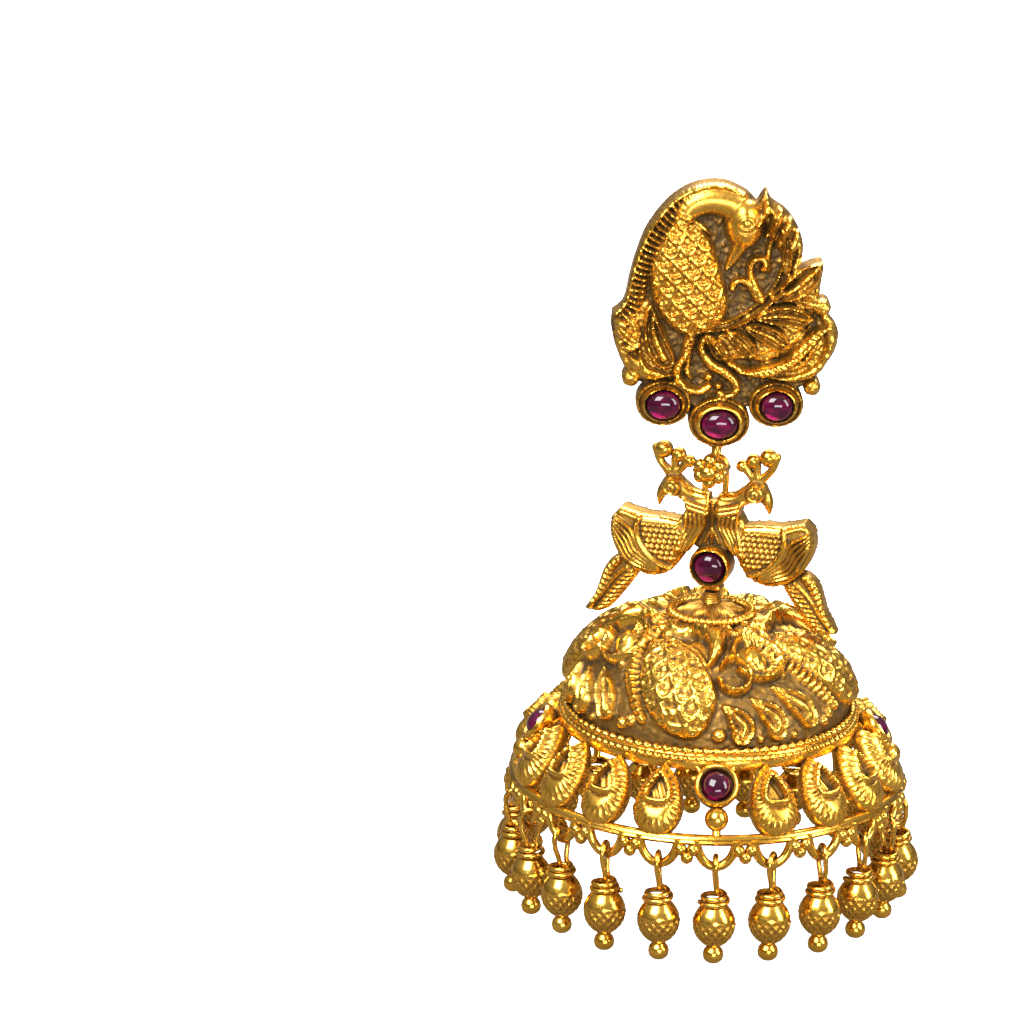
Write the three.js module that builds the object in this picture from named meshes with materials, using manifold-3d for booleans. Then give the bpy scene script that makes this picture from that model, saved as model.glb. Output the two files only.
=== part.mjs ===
// Jhumka earring: a cast peacock plaque worn on the ear lobe, a ring, and a pendant of two
// peacocks over a hollow bell with an openwork skirt and a fringe of small drops.
//
// Millimetres, +Z up, front towards -Y. The origin is where the ear post leaves the plaque's
// flat back. The pendant hangs from the ring, turned a little about its own vertical line.

import * as THREE from 'three';
import { mergeVertices } from 'three/addons/utils/BufferGeometryUtils.js';
import Module from 'manifold-3d';

const wasm = await Module();
wasm.setup();

// ---------------------------------------------------------------- driving dimensions

const GAP = 0.3; // clearance between neighbouring pieces

// Plaque: flat back at y = 0, front at -PLAQUE_THICK
const PLAQUE_THICK = 2.8;
const GRANULE_RADIUS = 0.8;
const POST_RADIUS = 0.45;
const POST_LENGTH = 10;

// Bezels along the plaque's lower edge, and the oval stones in them
const BEZEL_HEIGHT = 3.5;
const BEZEL_SEAT = 2.7;
const STONE_RISE = 1.1;
const PLAQUE_BEZELS = [
  { name: 'left', x: -5.1, z: -10.65, halfWidth: 2.5, halfHeight: 2.15, stoneWidth: 3.1, stoneHeight: 2.6 },
  { name: 'middle', x: 0, z: -12.37, halfWidth: 2.8, halfHeight: 2.33, stoneWidth: 3.3, stoneHeight: 2.6 },
  { name: 'right', x: 5.1, z: -10.65, halfWidth: 2.5, halfHeight: 2.15, stoneWidth: 2.9, stoneHeight: 2.6 },
];

// Suspension: eye at the plaque's foot, ring, and the pendant's eye, all round wire
const HANG_Y = 0.1; // the hanging line lies just behind the plaque's back
const EYE_WIRE_RADIUS = 0.3;
const EYE_RADIUS = 1.05;
const RING_WIRE_RADIUS = 0.38;
const RING_RADIUS = 1.45;
const UPPER_PIVOT_Z = -15.2;
const RING_TOP_Z = UPPER_PIVOT_Z + EYE_WIRE_RADIUS + GAP + RING_WIRE_RADIUS;
const RING_Z = RING_TOP_Z - RING_RADIUS;
const LOWER_PIVOT_Z = RING_Z - RING_RADIUS;
const PENDANT_TURN_DEG = -16;
const SLOT_DEPTH = 2.1; // room cut behind the middle bezel for the ring's top
const SLOT_SIDE_ROOM = 0.25;

// Peacock pair
const BODY_THICK = 3.0;
const NECK_THICK = 2.2;
const TAIL_THICK = 1.4;
const FLOWER_Z = -16.95;
const FLOWER_BACK_Y = -2.15;
const FLOWER_BALLS = 6;
const FLOWER_BALL_RADIUS = 0.62;
const FLOWER_RING_RADIUS = 1.0;
const FLOWER_DISC_RADIUS = 1.15;
const FLOWER_LUG_X = 1.16;
const FLOWER_LUG_RADIUS = 0.26;
const SETTING_Z = -26.5;
const SETTING_RADIUS = 1.95;
const SETTING_FRONT = 1.9;
const SETTING_SEAT_DEPTH = 1.0;
const PAIR_STONE_DIAMETER = 2.9;
const CREST_WIRE_RADIUS = 0.28;
const EYE_ARCH_RADIUS = 0.98;
const FLOWER_CENTRE_RADIUS = 0.66;
const FLOWER_CENTRE_PROUD = 0.3;

// Bell
const DOME_TOP_Z = -31.2;
const FLANGE_Z = -40.1;
const DOME_RADIUS = 13.6;
const DOME_WALL = 0.9;
const FLANGE_RADIUS = 14.1;
const FLANGE_HEIGHT = 1.0;
const RIM_RADIUS = 18.1;
const RIM_Z = -46.7;
const RIM_WIRE_RADIUS = 0.47;
const BELL_TURN_DEG = 16;
const DOME_SIDES = 40;
const MOTIFS = 4;
// Each motif's bird: radius and up place a lump's middle, lagDeg is how far it lies left of a skirt setting
const BODY_MOUND = { halfSizes: [3.6, 1.3, 4.2], radius: 10.2, up: 5.3, leanDeg: 42, lagDeg: 21 };
const HEAD_MOUND = { halfSizes: [2.8, 1.6, 2.4], radius: 8.8, up: 6.8, leanDeg: 60, lagDeg: -2 };

// Skirt: four settings, each followed by four teardrops
const SKIRT_PLACES = 20;
const PLACES_PER_SETTING = 5;
const TEARDROP_WIDTH = 4.6;
const TEARDROP_THICK = 1.3;
const TEARDROP_TIP = 2.9; // above its middle; clears the flange
const SKIRT_SETTING_RADIUS = 2.05;
const SKIRT_SEAT_DEPTH = 0.9;
const SKIRT_STONE_DIAMETER = 2.8;
const SKIRT_STONE_UP = 1.1; // up the slope from its middle
const SKIRT_BALL_RADIUS = 1.1;
const SKIRT_BALL_Z = -1.8;
const SKIRT_STRUT_LOW = -3.5;
const SKIRT_STRUT_RADIUS = 0.4;

// Lace of half rings below the rim, and one drop in each
const SCALLOPS = 22;
const LACE_WIRE_RADIUS = 0.45;
const LACE_HALF_WIDTH = 1.75;
const LACE_LOW_Z = -49.2;
const LACE_KNOT_RADIUS = 0.62;
const LACE_KNOT_DROP = 0.5; // below the rim wire
const DROP_WIRE_RADIUS = 0.26;
const DROP_LOOP_RADIUS = LACE_WIRE_RADIUS + GAP + DROP_WIRE_RADIUS + 0.04;
const DROP_BEAD_RADIUS = 2.0;
const DROP_TIP_RADIUS = 0.95;

// ---------------------------------------------------------------- materials

function gold() {
  return new THREE.MeshStandardMaterial({ color: 0xd9a62e, roughness: 0.28, metalness: 1 });
}

function ruby() {
  return new THREE.MeshStandardMaterial({ color: 0x7d0f3a, roughness: 0.08, metalness: 0 });
}

// ---------------------------------------------------------------- solids

function solidOf(geometry) {
  const bare = geometry.index ? geometry.toNonIndexed() : geometry.clone();
  bare.deleteAttribute('normal');
  bare.deleteAttribute('uv');
  const merged = mergeVertices(bare, 1e-4);
  return new wasm.Manifold(new wasm.Mesh({
    numProp: 3,
    vertProperties: new Float32Array(merged.attributes.position.array),
    triVerts: new Uint32Array(merged.index.array),
  }));
}

function joined(solids) {
  return solids.reduce((whole, next) => whole.add(next));
}

function meshOf(name, solid, material) {
  const { vertProperties, triVerts, numProp } = solid.getMesh();
  const positions = new Float32Array((vertProperties.length / numProp) * 3);
  for (let i = 0; i < positions.length / 3; i += 1) {
    positions.set(vertProperties.subarray(i * numProp, i * numProp + 3), i * 3);
  }
  const geometry = new THREE.BufferGeometry();
  geometry.setAttribute('position', new THREE.BufferAttribute(positions, 3));
  geometry.setIndex(new THREE.BufferAttribute(new Uint32Array(triVerts), 1));
  const mesh = new THREE.Mesh(geometry, material);
  mesh.name = name;
  return mesh;
}

// A shape drawn in x and z, from y = back to y = front
function plate(shape, back, front, curveSegments = 2) {
  const depth = back - front;
  const geometry = new THREE.ExtrudeGeometry(shape, { depth, bevelEnabled: false, curveSegments });
  geometry.rotateX(Math.PI / 2);
  geometry.translate(0, back, 0);
  return solidOf(geometry);
}

function ovalPlate(x, z, halfWidth, halfHeight, back, front, sides = 20) {
  const shape = new THREE.Shape();
  shape.absellipse(x, z, halfWidth, halfHeight, 0, Math.PI * 2, false);
  return plate(shape, back, front, sides / 2);
}

function ball(x, y, z, radius, segments = 8) {
  const geometry = new THREE.SphereGeometry(radius, segments, segments / 2);
  geometry.translate(x, y, z);
  return solidOf(geometry);
}

// An oval ball with half sizes in x, y and z, leaning in the x-z plane
function ovalBall(centre, halfSizes, leanDeg = 0, segments = 16) {
  const geometry = new THREE.SphereGeometry(1, segments, segments / 2);
  geometry.scale(...halfSizes);
  geometry.rotateY(THREE.MathUtils.degToRad(leanDeg));
  geometry.translate(...centre);
  return solidOf(geometry);
}

// A round bar along points, with flat ends
function bar(points, radius, sides = 6, steps = 6) {
  const section = new THREE.Shape();
  section.absarc(0, 0, radius, 0, Math.PI * 2, false);
  const path = new THREE.CatmullRomCurve3(points.map((point) => new THREE.Vector3(...point)));
  const geometry = new THREE.ExtrudeGeometry(section, {
    steps,
    curveSegments: sides / 2,
    extrudePath: path,
    bevelEnabled: false,
  });
  return solidOf(geometry);
}

// A body of revolution about z; the profile is a closed list of [radius, z]
function turned(profile, segments) {
  const points = profile.map(([radius, z]) => new THREE.Vector2(radius, z));
  const geometry = new THREE.LatheGeometry(points, segments);
  geometry.rotateX(Math.PI / 2);
  return solidOf(geometry);
}

// A smooth closed outline made of runs; a corner stays where two runs meet
function outline(runs) {
  const shape = new THREE.Shape();
  shape.moveTo(...runs[0][0]);
  runs.forEach((run, index) => {
    const rest = index === 0 ? run.slice(1) : run;
    shape.splineThru(rest.map(([x, z]) => new THREE.Vector2(x, z)));
  });
  shape.closePath();
  return shape;
}

function mirrored(solid) {
  return solid.mirror([1, 0, 0]);
}

function atAngle(solid, degrees) {
  return solid.rotate([0, 0, degrees]);
}

// A low dome with a flat back at y = seat, bulging to the front
function cabochon(name, x, z, seat, width, height, rise) {
  const geometry = new THREE.SphereGeometry(1, 12, 8);
  geometry.scale(width / 2, rise, height / 2);
  const full = solidOf(geometry);
  const front = new THREE.BoxGeometry(width * 2, rise * 2, height * 2);
  front.translate(0, -rise, 0);
  const half = full.intersect(solidOf(front)).translate([x, -seat, z]);
  return meshOf(name, half, ruby());
}

// ---------------------------------------------------------------- plaque

const PLAQUE_OUTLINE = [
  // from the pointed tip on the left, up over the crown to the crest
  [[-9.9, -2.4], [-8.9, -1.4], [-8.4, 0.9], [-7.9, 2.8], [-6.9, 5.4], [-5.0, 7.9],
    [-2.8, 9.3], [-0.4, 9.6], [1.7, 8.8], [2.8, 7.8]],
  // the crest's tip and the shoulder behind it
  [[3.6, 8.9], [4.1, 8.0], [5.6, 6.9], [6.7, 5.2], [7.0, 3.6], [6.8, 2.0]],
  // the long leaf and the scrolls down the right side
  [[8.8, 2.5], [8.7, 0.6], [8.5, -1.2]],
  [[9.6, -2.5], [10.4, -3.6], [10.3, -5.2], [9.4, -6.6], [8.5, -8.2], [6.4, -9.6]],
  // behind the bezels and back up to the tip
  [[0, -11.4], [-6.4, -9.4]],
  [[-8.4, -7.8], [-9.5, -5.6], [-10.0, -3.6]],
];

// Middle lines and sizes of the raised bird and its tail feather on the plaque
const PLAQUE_BODY = { x: -3.1, z: 0.6, halfSizes: [3.5, 1.5, 5.2], leanDeg: -14 };
const PLAQUE_HEAD = { x: 1.75, z: 6.3, halfSizes: [1.5, 1.1, 1.5] };
const PLAQUE_NECK = { radius: 0.95, line: [[-3.9, 4.4], [-3.0, 6.6], [-1.0, 7.7], [1.2, 7.1]] };
const PLAQUE_BEAK = { radius: 0.5, line: [[1.5, 5.2], [1.0, 3.6], [0.3, 2.1]] };
const PLAQUE_FEATHER = {
  radius: 0.5,
  line: [[-2.2, -3.9], [1.6, -2.9], [4.6, -0.8], [5.9, 2.2], [5.6, 5.4]],
};
const PLAQUE_GRANULES = [[-8.1, -8.3], [8.3, -8.9], [8.9, -1.6]];

function raisedBar({ radius, line }) {
  return bar(line.map(([x, z]) => [x, -PLAQUE_THICK, z]), radius, 6, 2 * line.length);
}

function peacockRelief() {
  const { x, z, halfSizes, leanDeg } = PLAQUE_BODY;
  const body = ovalBall([x, 0.5 - PLAQUE_THICK, z], halfSizes, leanDeg, 20);
  const head = ovalBall([PLAQUE_HEAD.x, -PLAQUE_THICK, PLAQUE_HEAD.z], PLAQUE_HEAD.halfSizes, 0, 12);
  return joined([body, head, raisedBar(PLAQUE_NECK), raisedBar(PLAQUE_BEAK), raisedBar(PLAQUE_FEATHER)]);
}

function plaqueEye() {
  const geometry = new THREE.TorusGeometry(EYE_RADIUS, EYE_WIRE_RADIUS, 8, 20);
  geometry.rotateX(Math.PI / 2);
  geometry.translate(0, HANG_Y, UPPER_PIVOT_Z + EYE_RADIUS);
  return solidOf(geometry);
}

// Room behind the middle bezel, where the ring's top swings
function ringSlot() {
  const slotWidth = 2 * (RING_WIRE_RADIUS + GAP + SLOT_SIDE_ROOM);
  const top = RING_TOP_Z + RING_WIRE_RADIUS + GAP;
  const bottom = UPPER_PIVOT_Z - 1; // below the plaque's foot
  const geometry = new THREE.BoxGeometry(slotWidth, SLOT_DEPTH * 2, top - bottom);
  geometry.translate(0, 0, (top + bottom) / 2);
  return solidOf(geometry);
}

function studPlaque() {
  const base = plate(outline(PLAQUE_OUTLINE), 0, -PLAQUE_THICK);
  const bezels = PLAQUE_BEZELS.map(({ x, z, halfWidth, halfHeight }) => (
    ovalPlate(x, z, halfWidth, halfHeight, 0, -BEZEL_HEIGHT)));
  const seats = PLAQUE_BEZELS.map(({ x, z, stoneWidth, stoneHeight }) => (
    ovalPlate(x, z, stoneWidth / 2 + GAP, stoneHeight / 2 + GAP, -BEZEL_SEAT, -BEZEL_HEIGHT - 1)));
  const balls = PLAQUE_GRANULES.map(([x, z]) => (
    ovalPlate(x, z, GRANULE_RADIUS, GRANULE_RADIUS, 0, -PLAQUE_THICK * 0.8, 10)));
  const whole = joined([base, peacockRelief(), ...bezels, ...balls]);
  const cut = joined([...seats, ringSlot()]);
  return meshOf('stud_plaque', whole.subtract(cut).add(plaqueEye()), gold());
}

function studStones() {
  return PLAQUE_BEZELS.map(({ name, x, z, stoneWidth, stoneHeight }) => (
    cabochon(`stud_ruby_${name}`, x, z, BEZEL_SEAT + GAP, stoneWidth, stoneHeight, STONE_RISE)));
}

function earPost() {
  const tip = POST_LENGTH - 0.6;
  const profile = [[0, GAP], [POST_RADIUS, GAP], [POST_RADIUS, tip], [POST_RADIUS * 0.5, POST_LENGTH],
    [0, POST_LENGTH]];
  const solid = turned(profile, 12).rotate([-90, 0, 0]);
  return meshOf('ear_post', solid, gold());
}

// ---------------------------------------------------------------- ring

function linkRing() {
  const geometry = new THREE.TorusGeometry(RING_RADIUS, RING_WIRE_RADIUS, 8, 24);
  geometry.rotateY(Math.PI / 2);
  const mesh = meshOf('link_ring', solidOf(geometry), gold());
  mesh.position.set(0, HANG_Y, RING_Z);
  mesh.rotation.z = THREE.MathUtils.degToRad(PENDANT_TURN_DEG / 2);
  return mesh;
}

// ---------------------------------------------------------------- peacock pair
// Modelled about its own vertical line, x = 0 and y = 0; only the left bird is drawn

const BIRD_BODY = [
  [[-8.6, -21.6], [-6.6, -22.1], [-4.6, -22.2], [-3.0, -22.4]],
  [[-2.3, -23.6], [-2.4, -25.2], [-3.1, -26.6], [-4.3, -27.6], [-5.9, -27.9], [-7.6, -27.2], [-8.9, -25.9],
    [-9.6, -24.0], [-9.5, -22.6]],
];
const BIRD_NECK = [
  [[-2.7, -20.3], [-2.6, -21.4], [-3.2, -22.7], [-3.0, -25.0]],
  [[-2.2, -25.3], [-1.4, -24.3], [-0.7, -23.0], [-0.3, -21.6], [-0.4, -20.2]],
];
const BIRD_NAPE = [
  [[-4.0, -20.2], [-2.8, -20.5], [-0.5, -21.0]],
  [[-0.4, -19.8], [-1.8, -19.5], [-2.8, -18.8], [-3.9, -18.3]],
];
const BIRD_BEAK = [
  [[-4.2, -18.4], [-5.0, -19.0], [-5.45, -20.2], [-5.2, -21.4]],
  [[-4.6, -20.4], [-4.0, -20.0]],
];
const BIRD_TAIL = [
  [[-7.4, -26.9], [-8.6, -26.5], [-9.7, -27.0], [-10.4, -28.4], [-10.9, -30.1], [-12.0, -31.9]],
  [[-10.9, -32.1], [-9.6, -31.6], [-8.3, -30.1], [-6.6, -27.6]],
];
const CREST_ROOT = { x: -3.9, z: -18.5 };
const CREST_BALLS = [
  { x: -4.95, z: -15.95, radius: 0.75, bow: 0.7 },
  { x: -3.55, z: -16.4, radius: 0.55, bow: 0.1 },
  { x: -2.55, z: -16.9, radius: 0.42, bow: 0.1 },
];

function slab(runs, thick) {
  return plate(outline(runs), thick / 2, -thick / 2, 1);
}

function leftBird() {
  const head = ovalBall([-3.85, 0, -19.25], [1.15, 1.15, 1.1], 0, 10);
  const eye = ovalPlate(-3.95, -19.3, 0.6, 0.6, 1.35, -1.35, 10);
  const crestBalls = CREST_BALLS.map(({ x, z, radius }) => ball(x, 0, z, radius, 6));
  const crestStems = CREST_BALLS.map(({ x, z, bow }) => {
    const middle = [(x + CREST_ROOT.x) / 2 - bow, 0, (z + CREST_ROOT.z) / 2];
    return bar([[x, 0, z], middle, [CREST_ROOT.x, 0, CREST_ROOT.z]], CREST_WIRE_RADIUS, 6, 3);
  });
  return joined([
    slab(BIRD_BODY, BODY_THICK),
    slab(BIRD_NECK, NECK_THICK),
    slab(BIRD_NAPE, NECK_THICK * 0.8),
    slab(BIRD_BEAK, 1.0),
    slab(BIRD_TAIL, TAIL_THICK),
    head, eye, ...crestBalls, ...crestStems,
  ]);
}

// Long eye above the necks: round at the top, open down to where the necks meet
function pendantEye() {
  const boxSize = 4; // larger than the ring
  const ring = new THREE.TorusGeometry(EYE_ARCH_RADIUS, EYE_WIRE_RADIUS, 8, 16);
  ring.rotateX(Math.PI / 2);
  ring.translate(0, 0, LOWER_PIVOT_Z);
  const upperHalf = new THREE.BoxGeometry(boxSize, boxSize, boxSize);
  upperHalf.translate(0, 0, LOWER_PIVOT_Z + boxSize / 2);
  const arch = solidOf(ring).intersect(solidOf(upperHalf));
  const legTop = LOWER_PIVOT_Z + 0.05;
  const leg = (x) => bar([[x, 0, legTop], [x, 0, -18.6], [x * 0.9, 0, -20.4]], EYE_WIRE_RADIUS, 8, 2);
  return joined([arch, leg(EYE_ARCH_RADIUS), leg(-EYE_ARCH_RADIUS)]);
}

function flower() {
  const ballY = FLOWER_BACK_Y - FLOWER_BALL_RADIUS;
  const disc = ovalPlate(0, FLOWER_Z, FLOWER_DISC_RADIUS, FLOWER_DISC_RADIUS, FLOWER_BACK_Y, ballY, 12);
  const centre = ball(0, ballY - FLOWER_CENTRE_PROUD, FLOWER_Z, FLOWER_CENTRE_RADIUS, 6);
  const petals = Array.from({ length: FLOWER_BALLS }, (_, index) => {
    const angle = (index / FLOWER_BALLS) * Math.PI * 2 + Math.PI / 2;
    const x = FLOWER_RING_RADIUS * Math.cos(angle);
    const z = FLOWER_Z + FLOWER_RING_RADIUS * Math.sin(angle);
    return ball(x, ballY, z, FLOWER_BALL_RADIUS, 6);
  });
  const lug = (x) => bar([[x, 0, LOWER_PIVOT_Z], [x * 1.15, ballY, FLOWER_Z]], FLOWER_LUG_RADIUS, 6, 1);
  return joined([disc, centre, ...petals, lug(FLOWER_LUG_X), lug(-FLOWER_LUG_X)]);
}

function peacockPair() {
  const bird = leftBird();
  const web = slab([[[-1.0, -20.3], [-1.0, -24.9]], [[1.0, -24.9], [1.0, -20.3]]], 1.4);
  const collar = ovalPlate(0, SETTING_Z, SETTING_RADIUS, SETTING_RADIUS, NECK_THICK / 2, -SETTING_FRONT);
  const foot = plate(outline([[[-1.2, -27.6], [-0.8, -28.9]], [[0.8, -28.9], [1.2, -27.6]]]), 1, -1);
  const seatRadius = PAIR_STONE_DIAMETER / 2 + GAP;
  const seatFloor = SETTING_SEAT_DEPTH - SETTING_FRONT;
  const seat = ovalPlate(0, SETTING_Z, seatRadius, seatRadius, seatFloor, -SETTING_FRONT - 1);
  const whole = joined([bird, mirrored(bird), web, collar, foot, pendantEye(), flower()]);
  return meshOf('peacock_pair', whole.subtract(seat), gold());
}

function peacockStone() {
  const back = SETTING_FRONT - SETTING_SEAT_DEPTH + GAP;
  return cabochon('peacock_ruby', 0, SETTING_Z, back, PAIR_STONE_DIAMETER, PAIR_STONE_DIAMETER, STONE_RISE);
}

// ---------------------------------------------------------------- bell
// Modelled about its own axis, x = 0 and y = 0

const FOOT_Z = -28.9;

function bellStem() {
  const top = FOOT_Z - GAP;
  const bottom = DOME_TOP_Z + GAP;
  const middle = (top + bottom) / 2;
  const profile = [[0, bottom], [0.65, bottom], [0.88, middle], [0.65, top], [0, top]];
  return meshOf('bell_stem', turned(profile, 12), gold());
}

// Quarter of an ellipse from the top to the flange, as [radius, z]
function domeArc(radius, height, steps) {
  return Array.from({ length: steps + 1 }, (_, index) => {
    const angle = (index / steps) * (Math.PI / 2);
    return [radius * Math.sin(angle), FLANGE_Z + height * Math.cos(angle)];
  });
}

function domeSolid(radius, height, low, steps) {
  return turned([[0, low], [radius, low], ...domeArc(radius, height, steps).reverse()], DOME_SIDES);
}

function mound({ halfSizes, radius, up, leanDeg, lagDeg }, turnDeg) {
  const flat = ovalBall([0, 0, 0], halfSizes, 10, 10);
  const leaning = flat.rotate([-leanDeg, 0, 0]).translate([0, -radius, FLANGE_Z + up]);
  return atAngle(leaning, turnDeg - lagDeg);
}

function bellDome() {
  const height = DOME_TOP_Z - FLANGE_Z;
  const low = FLANGE_Z - FLANGE_HEIGHT;
  const outside = domeSolid(DOME_RADIUS, height, low, 8);
  const hollow = domeSolid(DOME_RADIUS - DOME_WALL, height - DOME_WALL, low - 1, 5);
  const flangeTop = FLANGE_Z + 0.2;
  const rimProfile = [[0, low], [FLANGE_RADIUS, low], [FLANGE_RADIUS, flangeTop], [0, flangeTop]];
  const flange = turned(rimProfile, DOME_SIDES);
  const mounds = Array.from({ length: MOTIFS }, (_, index) => {
    const turnDeg = BELL_TURN_DEG + (index * 360) / MOTIFS;
    return [mound(BODY_MOUND, turnDeg), mound(HEAD_MOUND, turnDeg)];
  }).flat();
  return meshOf('bell_dome', joined([outside, flange, ...mounds]).subtract(hollow), gold());
}

const SKIRT_TOP_Z = FLANGE_Z - FLANGE_HEIGHT - GAP;
const SKIRT_TOP_RADIUS = 13.6;

// A place on the skirt's cone: turns a solid drawn flat in x and z onto the slope at an angle
function onSlope(solid, along, degrees) {
  const rise = SKIRT_TOP_Z - RIM_Z;
  const run = RIM_RADIUS - SKIRT_TOP_RADIUS;
  const lean = THREE.MathUtils.radToDeg(Math.atan2(run, rise));
  const radius = SKIRT_TOP_RADIUS + run * along;
  const z = SKIRT_TOP_Z - rise * along;
  return atAngle(solid.rotate([-lean, 0, 0]).translate([0, -radius, z]), degrees);
}

function teardrop() {
  const half = TEARDROP_WIDTH / 2;
  const shape = new THREE.Shape();
  shape.moveTo(0, TEARDROP_TIP);
  shape.bezierCurveTo(-0.6, 2.0, -half, 1.2, -half, -0.9);
  shape.bezierCurveTo(-half, -4.6, half, -4.6, half, -0.9);
  shape.bezierCurveTo(half, 1.2, 0.6, 2.0, 0, TEARDROP_TIP);
  return plate(shape, TEARDROP_THICK / 2, -TEARDROP_THICK / 2, 3);
}

function skirtSetting() {
  const radius = SKIRT_SETTING_RADIUS;
  const front = TEARDROP_THICK;
  const seatRadius = SKIRT_STONE_DIAMETER / 2 + GAP;
  const cup = ovalPlate(0, SKIRT_STONE_UP, radius, radius, TEARDROP_THICK / 2, -front, 12);
  const seat = ovalPlate(0, SKIRT_STONE_UP, seatRadius, seatRadius, SKIRT_SEAT_DEPTH - front, -front - 1, 12);
  const strut = bar([[0, 0, 0], [0, 0, SKIRT_STRUT_LOW]], SKIRT_STRUT_RADIUS, 6, 1);
  return cup.add(strut).subtract(seat).add(ball(0, -0.2, SKIRT_BALL_Z, SKIRT_BALL_RADIUS));
}

function placeAngle(index) {
  return BELL_TURN_DEG + (index * 360) / SKIRT_PLACES;
}

function rimRing(radius, z, wireRadius) {
  const geometry = new THREE.TorusGeometry(radius, wireRadius, 5, 48);
  geometry.translate(0, 0, z);
  return solidOf(geometry);
}

// One half ring of the lace, open side up against the rim, with the knot beside it
function scallop() {
  const depth = RIM_Z - LACE_LOW_Z;
  const points = [];
  const steps = 6;
  for (let index = 0; index <= steps; index += 1) {
    const angle = (index / steps) * Math.PI;
    points.push([LACE_HALF_WIDTH * Math.cos(angle), -RIM_RADIUS, RIM_Z - depth * Math.sin(angle)]);
  }
  const knotAngle = 180 / SCALLOPS;
  const knotZ = RIM_Z - RIM_WIRE_RADIUS - LACE_KNOT_DROP;
  const knot = atAngle(ball(0, -RIM_RADIUS, knotZ, LACE_KNOT_RADIUS, 4), knotAngle);
  return bar(points, LACE_WIRE_RADIUS, 5, steps).add(knot);
}

function scallopAngle(index) {
  return BELL_TURN_DEG + (index * 360) / SCALLOPS;
}

function bellSkirt() {
  const tear = teardrop();
  const setting = skirtSetting();
  const places = Array.from({ length: SKIRT_PLACES }, (_, index) => {
    const isSetting = index % PLACES_PER_SETTING === 0;
    return onSlope(isSetting ? setting : tear, 0.5, placeAngle(index));
  });
  const half = scallop();
  const lace = Array.from({ length: SCALLOPS }, (_, index) => atAngle(half, scallopAngle(index)));
  const inner = SKIRT_TOP_RADIUS - 0.9;
  const outer = SKIRT_TOP_RADIUS + 0.5;
  const ringLow = SKIRT_TOP_Z - 0.9;
  const ringProfile = [[inner, SKIRT_TOP_Z], [inner, ringLow], [outer, ringLow], [outer, SKIRT_TOP_Z],
    [inner, SKIRT_TOP_Z]];
  const topRing = turned(ringProfile, 48);
  const rim = rimRing(RIM_RADIUS, RIM_Z, RIM_WIRE_RADIUS);
  return meshOf('bell_skirt', joined([topRing, rim, ...places, ...lace]), gold());
}

function skirtStones() {
  const stones = [];
  for (let index = 0; index < SKIRT_PLACES / PLACES_PER_SETTING; index += 1) {
    const size = SKIRT_STONE_DIAMETER;
    const back = TEARDROP_THICK - SKIRT_SEAT_DEPTH + GAP;
    const flat = cabochon('stone', 0, SKIRT_STONE_UP, back, size, size, STONE_RISE);
    const solid = onSlope(solidOf(flat.geometry), 0.5, placeAngle(index * PLACES_PER_SETTING));
    stones.push(meshOf(`skirt_ruby_${index + 1}`, solid, ruby()));
  }
  return stones;
}

// ---------------------------------------------------------------- drops

// Bead, wrapped wire and ball tip below the loop; heights are from the middle of the lace wire
function drop() {
  const loopLow = -DROP_LOOP_RADIUS - DROP_WIRE_RADIUS;
  const profile = [[0, -9.3], [DROP_TIP_RADIUS, -8.5], [0.6, -7.7], [1.5, -7.1], [DROP_BEAD_RADIUS, -5.6],
    [1.5, -4.1], [1.1, -3.6], [1.1, loopLow - 0.1], [0, loopLow + 0.1]];
  const loop = new THREE.TorusGeometry(DROP_LOOP_RADIUS, DROP_WIRE_RADIUS, 4, 7);
  loop.rotateY(Math.PI / 2);
  return turned(profile, 8).add(solidOf(loop));
}

function drops() {
  const one = drop();
  return Array.from({ length: SCALLOPS }, (_, index) => {
    const number = String(index + 1).padStart(2, '0');
    const placed = atAngle(one.translate([0, -RIM_RADIUS, LACE_LOW_Z]), scallopAngle(index));
    return meshOf(`drop_${number}`, placed, gold());
  });
}

// ---------------------------------------------------------------- assembly

const stud = new THREE.Group();
stud.add(studPlaque(), ...studStones(), earPost());

const pendant = new THREE.Group();
pendant.position.set(0, HANG_Y, 0);
pendant.rotation.z = THREE.MathUtils.degToRad(PENDANT_TURN_DEG);
pendant.add(peacockPair(), peacockStone(), bellStem(), bellDome(), bellSkirt(), ...skirtStones(), ...drops());

const earring = new THREE.Group();
earring.add(stud, linkRing(), pendant);

export default earring;
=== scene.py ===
"""Looks for the jhumka earring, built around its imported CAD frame.

Cast pieces are height fields: lines, leaves, mounds and scales are raised on a fine grid, which is then
closed into a solid. Lengths in this file are millimetres, turned into metres when a mesh is made.
"""

import math

import bmesh
import bpy
import numpy as np
from mathutils import Matrix, Vector

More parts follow.
